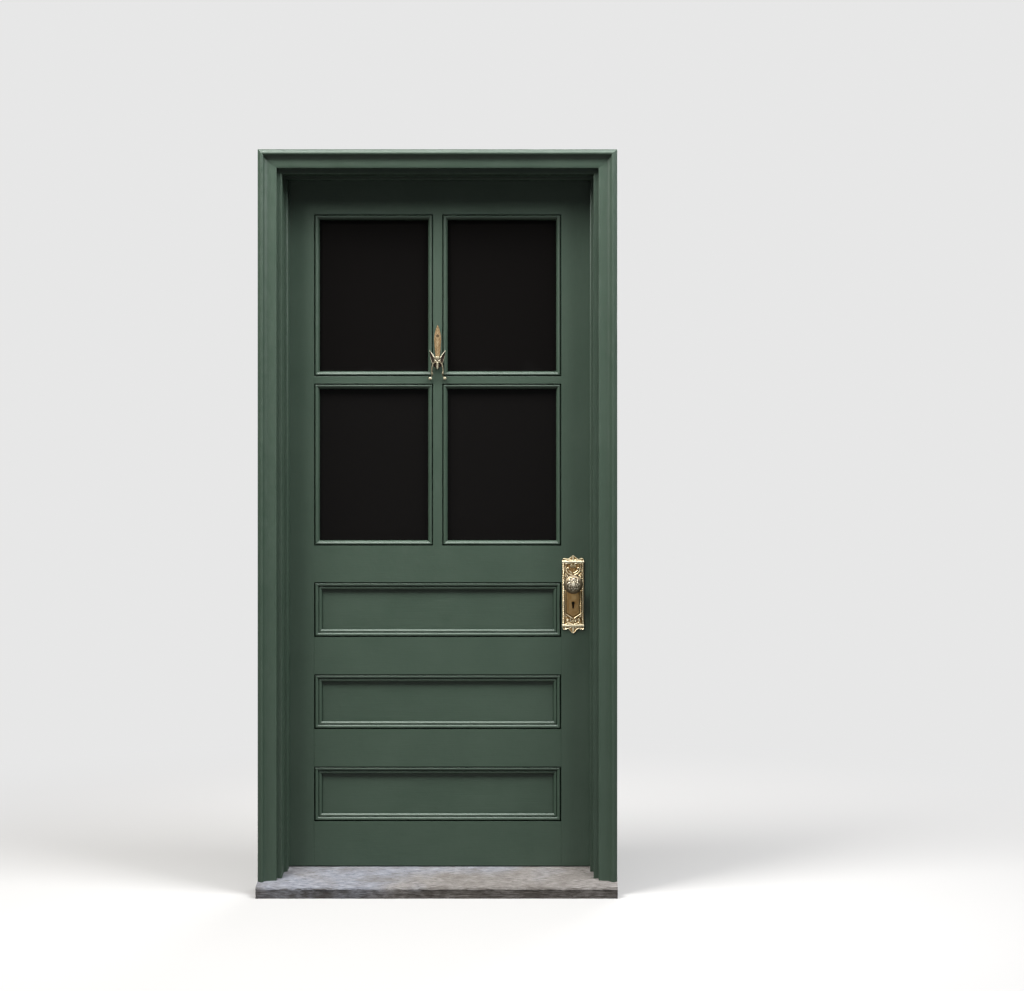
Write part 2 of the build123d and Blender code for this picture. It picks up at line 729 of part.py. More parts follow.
def moulding_section(plane):
    """Panel moulding: a quirk, then two rounded steps that fall towards the panel."""
    crown = panel_recess - moulding_below_face
    floor = panel_recess - moulding_quirk_depth
    step = (moulding_width + moulding_quirk) / 2
    step_height = panel_recess - moulding_step
    with BuildSketch(plane) as section:
        with BuildLine():
            quirk = Polyline((0, 0), (0, floor), (moulding_quirk, floor), (moulding_quirk, 0.9 * crown))
            crest = ThreePointArc(quirk @ 1, (1.4 * moulding_quirk, crown), (1.9 * moulding_quirk, crown))
            fall = ThreePointArc(crest @ 1, (0.9 * step, 0.84 * crown), (step, step_height))
            rise = Line(fall @ 1, (1.02 * step, 1.1 * step_height))
            second = ThreePointArc(rise @ 1, (0.85 * moulding_width, 0.44 * crown),
                                   (moulding_width, 0.08 * crown))
            Polyline(second @ 1, (moulding_width, 0), (0, 0))
        make_face()
    return section.sketch


def mitred_strips(section, x_range, z_range, base_y, facing):
    """Four strips round the inside of an opening: one section swept round, then sawn at the mitres."""
    middle = (x_range[0] + x_range[1]) / 2
    start = (middle, base_y, z_range[0])
    corners = [(x, base_y, z) for x, z in zip((x_range[1], x_range[1], x_range[0], x_range[0]),
                                             (z_range[0], z_range[1], z_range[1], z_range[0]))]
    with BuildLine() as path:
        Polyline(start, *corners, close=True)
    along = Plane(origin=start, x_dir=(0, 0, 1), z_dir=(-facing, 0, 0))
    sweep(section(along), path=path.wires()[0], transition=Transition.RIGHT)
    reach = 2 * moulding_width
    with Locations(*(Location(corner, (0, 45 + 90 * index, 0)) for index, corner in enumerate(corners))):
        Box(2 * reach, reach, mitre_kerf, mode=Mode.SUBTRACT)


# Glass and its beads, one pane and one set of beads to each of the four lights
light_columns = {"left": (opening_left, web_x[0]), "right": (web_x[1], opening_right)}
light_rows = {"upper": (web_z[1], glazed_top), "lower": (glazed_bottom, web_z[0])}
for row, light_z in light_rows.items():
    for column, light_x in light_columns.items():
        with BuildPart() as pane:
            block((light_x[0] + glass_play, light_x[1] - glass_play), (glass_recess, glass_back),
                  (light_z[0] + glass_play, light_z[1] - glass_play))
        finish(pane, f"{row}_{column}_pane")
        with BuildPart() as beads:
            mitred_strips(bead_section, light_x, light_z, glass_recess, -1)
        finish(beads, f"{row}_{column}_beads")

# Panels: flat, with rebated edges that float in the grooves
tongue = groove_depth - panel_float
for name, top, bottom in zip(("upper", "middle", "lower"), panel_tops, panel_bottoms):
    with BuildPart() as panel:
        block((opening_left + groove_play, opening_right - groove_play),
              (panel_recess, leaf_thickness - panel_recess), (bottom + groove_play, top - groove_play))
        block((opening_left - tongue, opening_right + tongue),
              (groove_front + groove_play, groove_front + groove_width - groove_play),
              (bottom - tongue, top + tongue))
    finish(panel, f"{name}_panel")

# Panel mouldings: planted on both faces of the leaf
for name, face_of_panel, facing in (
    ("street_panel_mouldings", panel_recess, -1),
    ("house_panel_mouldings", leaf_thickness - panel_recess, 1),
):
    with BuildPart() as mouldings:
        for top, bottom in zip(panel_tops, panel_bottoms):
            mitred_strips(moulding_section, (opening_left, opening_right), (bottom, top), face_of_panel,
                          facing)
    finish(mouldings, name)


def keyhole_section(plane):
    """A keyhole: a round top and a straight slot below it."""
    with BuildSketch(plane) as section:
        with Locations((0, key_above)):
            Circle(key_radius)
            Rectangle(key_slot_width, key_above + key_below, align=(Align.CENTER, Align.MAX))
    return section.sketch


# Mortise lock: case with channels for the bolts, a bore for the hub and a slot for the key
channel_y = (leaf_middle - bolt_thickness / 2 - bolt_play, leaf_middle + bolt_thickness / 2 + bolt_play)
latch_right = leaf_right + latch_throw
latch_left = latch_right - latch_length
bolt_right = leaf_right - bolt_setback
bolt_left = bolt_right - bolt_length
latch_channel_z = (knob_z - latch_height / 2 - bolt_play, knob_z + latch_height / 2 + bolt_play)
bolt_channel_z = (keyhole_z - bolt_height / 2 - bolt_play, keyhole_z + bolt_height / 2 + bolt_play)
with BuildPart() as lock_case:
    block((case_left, case_right), case_y, (case_bottom, case_top))
    fillet(lock_case.edges().filter_by(Axis.Y).group_by(Axis.X)[0], radius=case_corner)
    block((latch_left - latch_throw - mortise_gap, case_right), channel_y, latch_channel_z, Mode.SUBTRACT)
    block((bolt_left - mortise_gap, case_right), channel_y, bolt_channel_z, Mode.SUBTRACT)
    with Locations(Location(lock_axis, (90, 0, 0))):
        Cylinder(hub_radius + hub_play, case_thickness, mode=Mode.SUBTRACT)
    extrude(keyhole_section(Plane(origin=(lock_x, case_y[0], keyhole_z), x_dir=(1, 0, 0), z_dir=(0, -1, 0))),
            amount=case_thickness, dir=(0, 1, 0), mode=Mode.SUBTRACT)
finish(lock_case, "lock_case")

with BuildPart() as lock_faceplate:
    block((case_right, leaf_right), face_y, (face_bottom, face_top))
    block((case_right - 1, leaf_right + 1), channel_y, latch_channel_z, Mode.SUBTRACT)
    block((case_right - 1, leaf_right + 1), channel_y, bolt_channel_z, Mode.SUBTRACT)
    with Locations(*face_screw_places):
        CounterSinkHole(screw_radius + screw_play, screw_head_radius + screw_play, depth=2 * face_thickness,
                        counter_sink_angle=90)
finish(lock_faceplate, "lock_faceplate")
finish(screws(face_screw_places, lock_screw_length), "lock_screws")
finish(screws(street_screw_places + house_screw_places, plate_screw_length), "plate_screws")

with BuildPart() as latch_bolt:
    block((latch_left, latch_right), (leaf_middle - bolt_thickness / 2, leaf_middle + bolt_thickness / 2),
          (knob_z - latch_height / 2, knob_z + latch_height / 2))
    nose = latch_bolt.edges().filter_by(Axis.Z).group_by(Axis.X)[-1].sort_by(Axis.Y)[0]
    chamfer(nose, length=latch_bevel)
finish(latch_bolt, "latch_bolt")

with BuildPart() as dead_bolt:
    block((bolt_left, bolt_right), (leaf_middle - bolt_thickness / 2, leaf_middle + bolt_thickness / 2),
          (keyhole_z - bolt_height / 2, keyhole_z + bolt_height / 2))
    chamfer(dead_bolt.faces().sort_by(Axis.X)[-1].edges(), length=1)
finish(dead_bolt, "dead_bolt")

with BuildPart() as lock_hub:
    with Locations(Location(lock_axis, (90, 0, 0))):
        Cylinder(hub_radius, hub_thickness)
        Box(spindle_side, spindle_side, hub_thickness, mode=Mode.SUBTRACT)
finish(lock_hub, "lock_hub")

spindle_half = leaf_thickness / 2 + plate_face + knob_projection / 2
with BuildPart() as spindle:
    with Locations(Location(lock_axis, (90, 0, 0))):
        Box(spindle_side, spindle_side, 2 * spindle_half)
    ends = spindle.faces().filter_by(Axis.Y)
    chamfer(ends.edges(), length=1)
finish(spindle, "spindle")


def crest(end, rise):
    """Half of a plate's crest, from its corner up to the point on the middle line."""
    half = plate_width / 2
    lobe = ThreePointArc((half, end), (0.84 * half, end + 0.45 * rise), (0.5 * half, end + 0.28 * rise))
    ThreePointArc(lobe @ 1, (0.2 * half, end + 0.64 * rise), (0, end + rise))


# Street plate: long plate with a crest at each end, bars, a rim, a shield for the key and a collar
street_side = Plane(origin=(lock_x, 0, 0), x_dir=(1, 0, 0), z_dir=(0, -1, 0))
plate_front = street_side.offset(plate_base)
plate_middle = (plate_top + plate_bottom) / 2
with BuildPart() as street_plate:
    with BuildSketch(street_side):
        with BuildLine():
            Line((plate_width / 2, plate_bottom), (plate_width / 2, plate_top))
            crest(plate_top, plate_top_crest)
            crest(plate_bottom, -plate_bottom_crest)
            mirror(about=Plane.YZ)
        make_face()
    extrude(amount=plate_base)
    with BuildSketch(plate_front):
        with Locations((0, plate_middle)):
            Rectangle(plate_width, plate_body_height)
            Rectangle(plate_width - 2 * plate_rim_width, plate_body_height, mode=Mode.SUBTRACT)
    extrude(amount=plate_rim)
    with BuildSketch(plate_front):
        with Locations((0, plate_top - plate_bar / 2), (0, plate_bottom + plate_bar / 2)):
            Rectangle(plate_width + 2, plate_bar)
    extrude(amount=plate_bar_rise)
    with BuildSketch(plate_front):
        with BuildLine():
            Polyline(
                (-shield_width / 2, knob_z - shield_top_drop),
                (shield_width / 2, knob_z - shield_top_drop),
                (shield_width / 2, keyhole_z - shield_shoulder),
                (0, keyhole_z - shield_point),
                (-shield_width / 2, keyhole_z - shield_shoulder),
                close=True,
            )
        make_face()
    extrude(amount=shield_rise)
    with BuildSketch(plate_front):
        with Locations((0, knob_z)):
            Circle(collar_radius + plate_rim_width)
    extrude(amount=plate_rim)
    with BuildSketch(street_side):
        with Locations((0, knob_z)):
            Circle(shank_radius + shank_play)
    extrude(amount=plate_face + 1, mode=Mode.SUBTRACT)
    extrude(keyhole_section(Plane(origin=(lock_x, 0, keyhole_z), x_dir=(1, 0, 0), z_dir=(0, -1, 0))),
            amount=plate_face + 1, dir=(0, -1, 0), mode=Mode.SUBTRACT)
    with Locations(*street_screw_places):
        CounterSinkHole(screw_radius + screw_play, screw_head_radius + screw_play, depth=2 * plate_base,
                        counter_sink_angle=90)
finish(street_plate, "street_plate")

with BuildPart() as house_plate:
    mirror(street_plate.part, about=Plane.XZ.offset(-leaf_middle))
finish(house_plate, "house_plate")

# Knobs: turned, with a foot against the plate, a neck and a flattened head with a domed face
knob_foot = -(plate_base + plate_rim + knob_foot_gap)
knob_face = -knob_projection
knob_seat = case_front - mortise_gap
dome_edge = Vector(knob_radius - 3, knob_face + knob_dome_rise + knob_boss_rise)
dome_radius = (dome_edge.X**2 + knob_dome_rise**2) / (2 * knob_dome_rise)
dome_centre = knob_face + knob_boss_rise + dome_radius
dome_start = math.degrees(math.atan2(dome_edge.Y - dome_centre, dome_edge.X))
dome_turn = -math.degrees(math.acos(knob_boss_radius / dome_radius)) - dome_start
with BuildPart() as street_knob:
    with BuildSketch(Plane(origin=(lock_x, 0, knob_z), x_dir=(1, 0, 0), z_dir=(0, 0, 1))):
        with BuildLine():
            shank = Polyline((0, knob_seat), (shank_radius, knob_seat), (shank_radius, knob_foot),
                             (knob_foot_radius, knob_foot), (knob_foot_radius, knob_foot - 3))
            waist = ThreePointArc(shank @ 1, (knob_neck_radius + 0.8, knob_foot - 6),
                                  (knob_neck_radius, knob_foot - 11))
            flare = ThreePointArc(waist @ 1, (knob_neck_radius + 4, knob_face + knob_crown + 9),
                                  (knob_radius - 6, knob_face + knob_crown + 4))
            cheek = ThreePointArc(flare @ 1, (knob_radius, knob_face + knob_crown - 5), dome_edge)
            dome = CenterArc((0, dome_centre), dome_radius, dome_start, dome_turn)
            Polyline(dome @ 1, (knob_boss_radius - 1, knob_face), (0, knob_face), (0, knob_seat))
        make_face()
    revolve(axis=Axis((lock_x, 0, knob_z), (0, 1, 0)))
    block((lock_x - spindle_side / 2, lock_x + spindle_side / 2), (leaf_middle - spindle_half, knob_seat),
          (knob_z - spindle_side / 2, knob_z + spindle_side / 2), Mode.SUBTRACT)
finish(street_knob, "street_knob")

with BuildPart() as house_knob:
    mirror(street_knob.part, about=Plane.XZ.offset(-leaf_middle))
finish(house_knob, "house_knob")

# Knocker: a leaf-shaped plate with two ears and a pin, and a striker that swings on it
ear_low = knocker_eye_width / 2 + knocker_ear_gap
ear_high = ear_low + knocker_ear_width
knocker_pin_place = Location((opening_middle, -knocker_axis_out, pin_height), (0, 90, 0))
with BuildPart() as knocker_plate:
    with BuildSketch(Plane(origin=(opening_middle, 0, pin_height), x_dir=(1, 0, 0), z_dir=(0, -1, 0))):
        with BuildLine():
            edge = ThreePointArc((ear_high, -knocker_eye_radius),
                                 (0.42 * knocker_leaf_width, 0.25 * knocker_leaf_length),
                                 (0.5 * knocker_leaf_width, 0.55 * knocker_leaf_length))
            ThreePointArc(edge @ 1, (0.36 * knocker_leaf_width, 0.8 * knocker_leaf_length),
                          (0, knocker_leaf_length))
            Line((ear_high, -knocker_eye_radius), (0, -knocker_eye_radius))
            mirror(about=Plane.YZ)
        make_face()
    extrude(amount=knocker_leaf_thickness)
    for side in (-1, 1):
        ear_x = sorted((opening_middle + side * ear_low, opening_middle + side * ear_high))
        block(ear_x, (-knocker_axis_out, 0),
              (pin_height - knocker_eye_radius, pin_height + knocker_eye_radius))
        with Locations(Location((sum(ear_x) / 2, -knocker_axis_out, pin_height), (0, 90, 0))):
            Cylinder(knocker_eye_radius, knocker_ear_width)
    with Locations(knocker_pin_place):
        Cylinder(knocker_pin_radius + knocker_pin_play, 2 * ear_high, mode=Mode.SUBTRACT)
    with Locations(knocker_screw_place):
        CounterSinkHole(screw_radius + screw_play, screw_head_radius + screw_play,
                        depth=2 * knocker_leaf_thickness, counter_sink_angle=90)
finish(knocker_plate, "knocker_plate")
finish(screws([knocker_screw_place], knocker_screw_length), "knocker_screw")

with BuildPart() as knocker_pin:
    with Locations(knocker_pin_place):
        Cylinder(knocker_pin_radius, 2 * ear_high)
finish(knocker_pin, "knocker_pin")

# Striker: a cast body hung by its eye, two horns above, and two legs whose balls strike the cross muntins
ball_y = -(knocker_ball_radius + knocker_rest_gap)
body_y = -(knocker_rest_gap + knocker_body_depth)
body_top = pin_height - knocker_eye_radius - knocker_ear_gap
horn_root_x = ear_high + knocker_leg_radius + knocker_ear_gap
with BuildPart() as knocker_striker:
    with Locations(knocker_pin_place):
        Cylinder(knocker_eye_radius, knocker_eye_width)
    block((opening_middle - knocker_eye_width / 2, opening_middle + knocker_eye_width / 2),
          (-knocker_axis_out - knocker_eye_radius, -knocker_axis_out),
          (body_top - knocker_eye_radius, pin_height))
    for level, share in enumerate(knocker_body_shares):
        with BuildSketch(Plane.XY.offset(body_top - level * knocker_body_height / 3)):
            with Locations((opening_middle, body_y)):
                Ellipse(share * knocker_body_width / 2, math.sqrt(share) * knocker_body_depth / 2)
    loft()
    for side in (-1, 1):
        hip = Vector(opening_middle + side * 0.36 * knocker_body_width, body_y,
                     body_top - 0.5 * knocker_body_height)
        bend = Vector(opening_middle + side * 0.75 * knocker_leg_spread, body_y,
                      body_top - 0.75 * knocker_leg_drop)
        foot = Vector(opening_middle + side * knocker_leg_spread, ball_y, pin_height - knocker_leg_drop)
        with BuildLine() as leg:
            ThreePointArc(hip, bend, foot)
        with BuildSketch(Plane(origin=hip, z_dir=leg.line % 0)):
            Circle(knocker_leg_radius)
        sweep(path=leg.line)
        with Locations(foot):
            Sphere(knocker_ball_radius)
        root = Vector(opening_middle + side * horn_root_x, body_y, body_top - knocker_eye_radius)
        tip = Vector(opening_middle + side * knocker_horn_spread, body_y, pin_height + knocker_horn_rise)
        with BuildSketch(Plane(origin=root, z_dir=tip - root)):
            Circle(knocker_leg_radius)
        with BuildSketch(Plane(origin=tip, z_dir=tip - root)):
            Circle(0.4 * knocker_leg_radius)
        loft()
    with Locations(knocker_pin_place):
        Cylinder(knocker_pin_radius + knocker_pin_play, 2 * knocker_eye_width, mode=Mode.SUBTRACT)
finish(knocker_striker, "knocker_striker")
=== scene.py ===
import math

import bmesh
import bpy
import numpy as np
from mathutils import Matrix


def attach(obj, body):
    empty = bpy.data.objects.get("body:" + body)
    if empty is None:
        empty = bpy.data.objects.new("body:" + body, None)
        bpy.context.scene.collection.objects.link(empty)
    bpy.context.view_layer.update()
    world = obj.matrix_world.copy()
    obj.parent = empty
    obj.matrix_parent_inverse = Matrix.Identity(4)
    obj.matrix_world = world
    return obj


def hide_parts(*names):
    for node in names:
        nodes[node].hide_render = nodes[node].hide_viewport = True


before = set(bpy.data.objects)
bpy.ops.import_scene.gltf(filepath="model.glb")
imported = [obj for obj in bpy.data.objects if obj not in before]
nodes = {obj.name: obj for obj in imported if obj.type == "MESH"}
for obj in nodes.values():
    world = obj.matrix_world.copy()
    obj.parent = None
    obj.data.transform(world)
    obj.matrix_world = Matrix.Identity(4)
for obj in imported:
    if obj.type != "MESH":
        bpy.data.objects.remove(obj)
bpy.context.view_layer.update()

# Studio: a pale floor level with the sill's underside, which fades into the pale backdrop far from
# the door. Two soft lamps stand high in front, the stronger on the left; a wide weak one straight in
# front gives the paint its haze, one hangs overhead, and one lights the house side.
floor_mesh = bpy.data.meshes.new("studio_floor")
floor_mesh.from_pydata([(-40, -40, 0), (40, -40, 0), (40, 40, 0), (-40, 40, 0)], [], [(0, 1, 2, 3)])
floor = bpy.data.objects.new("studio_floor", floor_mesh)
bpy.context.scene.collection.objects.link(floor)
floor_look = bpy.data.materials.new("studio_floor")
floor_look.use_nodes = True
floor_mesh.materials.append(floor_look)
backdrop_tone = (0.80, 0.80, 0.80, 1)
fade_starts, fade_ends = 0.9, 3.2


def link(tree, start, end):
    """Joins two sockets."""
    tree.links.new(start, end)


def shader_mix(tree, share, first, second):
    """One shader where the share is 0, the other where it is 1."""
    made = tree.nodes.new("ShaderNodeMixShader")
    link(tree, share, made.inputs["Fac"])
    link(tree, first.outputs[0], made.inputs[1])
    link(tree, second.outputs[0], made.inputs[2])
    return made


def plain_shader(tree, kind, colour, strength=None):
    """A shader of one kind and colour."""
    made = tree.nodes.new(kind)
    made.inputs["Color"].default_value = colour
    if strength is not None:
        made.inputs["Strength"].default_value = strength
    return made


tree = floor_look.node_tree
tree.nodes.clear()
far = tree.nodes.new("ShaderNodeVectorMath")
far.operation = "LENGTH"
link(tree, tree.nodes.new("ShaderNodeTexCoord").outputs["Object"], far.inputs[0])
fade = tree.nodes.new("ShaderNodeMapRange")
fade.interpolation_type = "SMOOTHSTEP"
fade.inputs["From Min"].default_value = fade_starts
fade.inputs["From Max"].default_value = fade_ends
link(tree, far.outputs["Value"], fade.inputs["Value"])
near_floor = plain_shader(tree, "ShaderNodeBsdfDiffuse", (0.36, 0.355, 0.35, 1))
far_floor = plain_shader(tree, "ShaderNodeEmission", backdrop_tone)
bounce_floor = plain_shader(tree, "ShaderNodeBsdfDiffuse", (0.13, 0.128, 0.125, 1))
seen_floor = shader_mix(tree, fade.outputs[0], near_floor, far_floor)
seen = tree.nodes.new("ShaderNodeLightPath").outputs["Is Camera Ray"]
any_floor = shader_mix(tree, seen, bounce_floor, seen_floor)
link(tree, any_floor.outputs[0], tree.nodes.new("ShaderNodeOutputMaterial").inputs["Surface"])


def soft_lamp(name, place, target, width, height, watts, colour):
    """A rectangular area lamp at one point, turned towards another."""
    lamp = bpy.data.lights.new(name, "AREA")
    lamp.shape = "RECTANGLE"
    lamp.size = width
    lamp.size_y = height
    lamp.energy = watts
    lamp.color = colour
    holder = bpy.data.objects.new(name, lamp)
    bpy.context.scene.collection.objects.link(holder)
    holder.visible_camera = False
    holder.location = place
    aim = np.subtract(target, place)
    holder.rotation_euler = (math.atan2(math.hypot(aim[0], aim[1]), -aim[2]), 0, math.atan2(-aim[0], aim[1]))


soft_lamp("key_lamp", (-2.8, -2.3, 5.4), (0.1, 0, 0.4), 2.4, 2.2, 540, (1.0, 0.99, 0.97))
soft_lamp("right_lamp", (3.1, -2.1, 5.2), (0, 0, 0.5), 2.4, 2.2, 500, (0.97, 0.98, 1.0))
soft_lamp("front_lamp", (0.4, -9.0, 1.0), (0, 0, 0.6), 5.0, 2.0, 13, (0.97, 0.98, 1.0))
soft_lamp("top_lamp", (-0.3, -1.5, 5.6), (-0.3, -0.6, 0), 3.4, 1.4, 190, (1.0, 1.0, 1.0))
soft_lamp("house_lamp", (1.5, 5.0, 3.2), (0, 0, 1.0), 3.0, 3.0, 300, (1, 1, 1))

world = bpy.data.worlds.new("studio_light")
bpy.context.scene.world = world
world.use_nodes = True
tree = world.node_tree
tree.nodes.clear()
lighting = plain_shader(tree, "ShaderNodeBackground", (0.93, 0.97, 1.0, 1), 0.08)
backdrop = plain_shader(tree, "ShaderNodeBackground", backdrop_tone, 1.0)
seen = tree.nodes.new("ShaderNodeLightPath").outputs["Is Camera Ray"]
either = shader_mix(tree, seen, lighting, backdrop)
link(tree, either.outputs[0], tree.nodes.new("ShaderNodeOutputWorld").inputs["Surface"])
bpy.context.scene.view_settings.view_transform = "Standard"

# Camera: where the photograph was taken from, 5.75 m in front and a little right of the middle.
# Its axis is level and square to the door; the small shift frames the door as the photograph does.
camera = bpy.data.objects.new("photo_camera", bpy.data.cameras.new("photo_camera"))
bpy.context.scene.collection.objects.link(camera)
bpy.context.scene.camera = camera
camera.location = (0.334, -5.749, 1.216)
camera.rotation_euler = (math.radians(90), 0, 0)
camera.data.sensor_width = 36
camera.data.lens = 68.6
camera.data.shift_x = -0.040
camera.data.shift_y = -0.020


# Painted woodwork: every board of the leaf and of the frame keeps its solid and gets its arrises
# eased. The paint is old satin oil paint in a grey green, laid off with a brush along the grain.


def noise(tree, where, scale, detail=3.0, rough=0.5, stretch=(1, 1, 1)):
    """Noise on Object coordinates, finer across than along where the stretch says so."""
    turn = tree.nodes.new("ShaderNodeMapping")
    turn.inputs["Scale"].default_value = stretch
    link(tree, where, turn.inputs["Vector"])
    made = tree.nodes.new("ShaderNodeTexNoise")
    made.inputs["Scale"].default_value = scale
    made.inputs["Detail"].default_value = detail
    made.inputs["Roughness"].default_value = rough
    link(tree, turn.outputs[0], made.inputs["Vector"])
    return made.outputs["Fac"]


def ramp(tree, value, stops):
    """Colour or grey stops along a value."""
    made = tree.nodes.new("ShaderNodeValToRGB")
    made.color_ramp.elements[0].position = stops[0][0]
    made.color_ramp.elements[0].color = (*stops[0][1], 1)
    made.color_ramp.elements[1].position = stops[-1][0]
    made.color_ramp.elements[1].color = (*stops[-1][1], 1)
    for place, colour in stops[1:-1]:
        step = made.color_ramp.elements.new(place)
        step.color = (*colour, 1)
    link(tree, value, made.inputs["Fac"])
    return made.outputs["Color"]


def grey(tree, value, low, high, start=0.3, end=0.7):
    """A value brought between two greys."""
    return ramp(tree, value, [(start, (low, low, low)), (end, (high, high, high))])


def mix(tree, share, first, second):
    """Blends two colours or greys by a share."""
    made = tree.nodes.new("ShaderNodeMix")
    made.data_type = "RGBA"
    for socket, value in ((made.inputs[0], share), (made.inputs[6], first), (made.inputs[7], second)):
        if isinstance(value, tuple):
            socket.default_value = (*value, 1)
        elif isinstance(value, (int, float)):
            socket.default_value = value
        else:
            link(tree, value, socket)
    return made.outputs[2]


def bump(tree, height, distance, strength=1.0, under=None):
    """Raises the surface by a height from 0 to 1 times a distance in metres."""
    made = tree.nodes.new("ShaderNodeBump")
    made.inputs["Distance"].default_value = distance
    made.inputs["Strength"].default_value = strength
    link(tree, height, made.inputs["Height"])
    if under is not None:
        link(tree, under, made.inputs["Normal"])
    return made.outputs["Normal"]


def new_look(name):
    """A node material: its tree, its shader and the Object coordinates."""
    look = bpy.data.materials.new(name)
    look.use_nodes = True
    tree = look.node_tree
    where = tree.nodes.new("ShaderNodeTexCoord").outputs["Object"]
    return look, tree, tree.nodes["Principled BSDF"], where


def wear_and_shade_number(tree):
    """The number from 0, deep, to 1, rubbed bright, that each added piece carries at its points. Here
    and there a low number is painted shade and a high one a painted highlight.
    """
    made = tree.nodes.new("ShaderNodeAttribute")
    made.attribute_name = "wear_and_shade"
    return made.outputs["Fac"]


def green_paint(name, along):
    """Satin paint whose brush marks run along one axis, with faint sags and a little dust in them.
    Where a moulding's number rises above a half, the paint turns near black and loses its gloss: dust
    that has settled there, and painted shade in the quirks."""
    look, tree, shader, where = new_look(name)
    strokes = tuple(0.035 if axis == along else 1.0 for axis in "xyz")
    mottle = noise(tree, where, 5.0, 4.0, 0.6)
    streak = noise(tree, where, 420.0, 2.0, 0.5, strokes)
    film = noise(tree, where, 55.0, 3.0, 0.55)
    body = ramp(tree, mottle, [(0.35, (0.0245, 0.0455, 0.0290)), (0.65, (0.0310, 0.0535, 0.0355))])
    body = mix(tree, grey(tree, streak, 0.0, 0.22, 0.40, 0.75), body, (0.042, 0.068, 0.049))
    # Near-black, dull paint where the number is high: settled dust and painted shade in the quirks.
    dirt_and_shade = wear_and_shade_number(tree)
    body = mix(tree, grey(tree, dirt_and_shade, 0.0, 0.88, 0.52, 0.95), body, (0.004, 0.008, 0.005))
    link(tree, body, shader.inputs["Base Color"])
    link(tree, grey(tree, film, 0.41, 0.53), shader.inputs["Roughness"])
    link(tree, grey(tree, dirt_and_shade, 0.6, 0.05, 0.52, 0.95), shader.inputs["Specular IOR Level"])
    brushed = bump(tree, streak, 0.00022)
    link(tree, bump(tree, film, 0.0005, 0.7, brushed), shader.inputs["Normal"])
    return look


paint_up = green_paint("paint_on_uprights", "z")
paint_across = green_paint("paint_on_rails", "x")

upright_nodes = ("left_jamb", "right_jamb", "left_stop", "right_stop", "hinge_stile", "lock_stile",
                 "upright_muntin")
cross_nodes = ("head_jamb", "head_stop", "top_rail", "lock_rail", "upper_middle_rail", "lower_middle_rail",
               "bottom_rail", "left_cross_muntin", "right_cross_muntin", "upper_panel", "middle_panel",
               "lower_panel")


def ease(name, width, look):
    """Merges a CAD node's loose triangles, rounds its arrises by a width in mm and gives it its finish."""
    node = nodes[name]
    weld = node.modifiers.new("merge", "WELD")
    weld.merge_threshold = 0.00001
    rounded = node.modifiers.new("arrises", "BEVEL")
    rounded.width = width / 1000
    rounded.segments = 2
    rounded.limit_method = "ANGLE"
    rounded.angle_limit = math.radians(35)
    rounded.use_clamp_overlap = True
    node.data.materials.clear()
    node.data.materials.append(look)


for look, names in ((paint_up, upright_nodes), (paint_across, cross_nodes)):
    for name in names:
        ease(name, 0.8, look)


# Panel mouldings and glazing beads: mitred strips of planted pine, pinned round each panel and each
# pane, with soft, rubbed crests and a brushed coat that fills their corners a little. Their quirks
# are painted dark, for dust and for painted shade.


def arc(first, middle, last, steps=6):
    """Points on the circle through three points, without the first one."""
    start, half, end = (complex(*point) for point in (first, middle, last))
    share = (end - start) / (half - start)
    centre = start - (start - half) * (share - abs(share) ** 2) / 2j / share.imag
    turn = np.angle((end - centre) / (start - centre))
    round_points = centre + (start - centre) * np.exp(1j * turn * np.linspace(0, 1, steps + 1)[1:])
    return [(point.real, point.imag) for point in round_points]


def hills(u, v, seed):
    """Smooth random hills one unit across, from -1 to 1: a random lattice with eased steps between."""
    lattice = np.random.default_rng(seed).uniform(-1, 1, (256, 256))
    low_u, low_v = np.floor(u).astype(int), np.floor(v).astype(int)
    step_u, step_v = u - low_u, v - low_v
    step_u, step_v = step_u * step_u * (3 - 2 * step_u), step_v * step_v * (3 - 2 * step_v)
    low_u, low_v = low_u % 256, low_v % 256
    high_u, high_v = (low_u + 1) % 256, (low_v + 1) % 256
    near = lattice[low_u, low_v] * (1 - step_u) + lattice[high_u, low_v] * step_u
    next_to = lattice[low_u, high_v] * (1 - step_u) + lattice[high_u, high_v] * step_u
    return near * (1 - step_v) + next_to * step_v


def quads_over(index):
    """The four corners of each quad of a grid, from the grid's point numbers."""
    return np.stack([index[:-1, :-1], index[1:, :-1], index[1:, 1:], index[:-1, 1:]], -1)


def closed(points, wear_and_shade=0.5):
    """A tube of rings (rows, ring, xyz) with its ring closed and both ends drawn to a point: its points,
    its quads, and the wear-and-shade number of each point."""
    wear_and_shade = np.broadcast_to(wear_and_shade, points.shape[:2])
    wear_and_shade = np.concatenate([wear_and_shade, wear_and_shade[:, :1]], axis=1)
    wear_and_shade = np.concatenate([wear_and_shade[:1], wear_and_shade, wear_and_shade[-1:]])
    points = np.concatenate([points, points[:, :1]], axis=1)
    ends = [np.broadcast_to(points[row, :-1].mean(0), points[row].shape)[None] for row in (0, -1)]
    points = np.concatenate([ends[0], points, ends[1]])
    index = np.arange(wear_and_shade.size).reshape(wear_and_shade.shape)
    return points.reshape(-1, 3), quads_over(index).reshape(-1, 4), wear_and_shade.ravel()


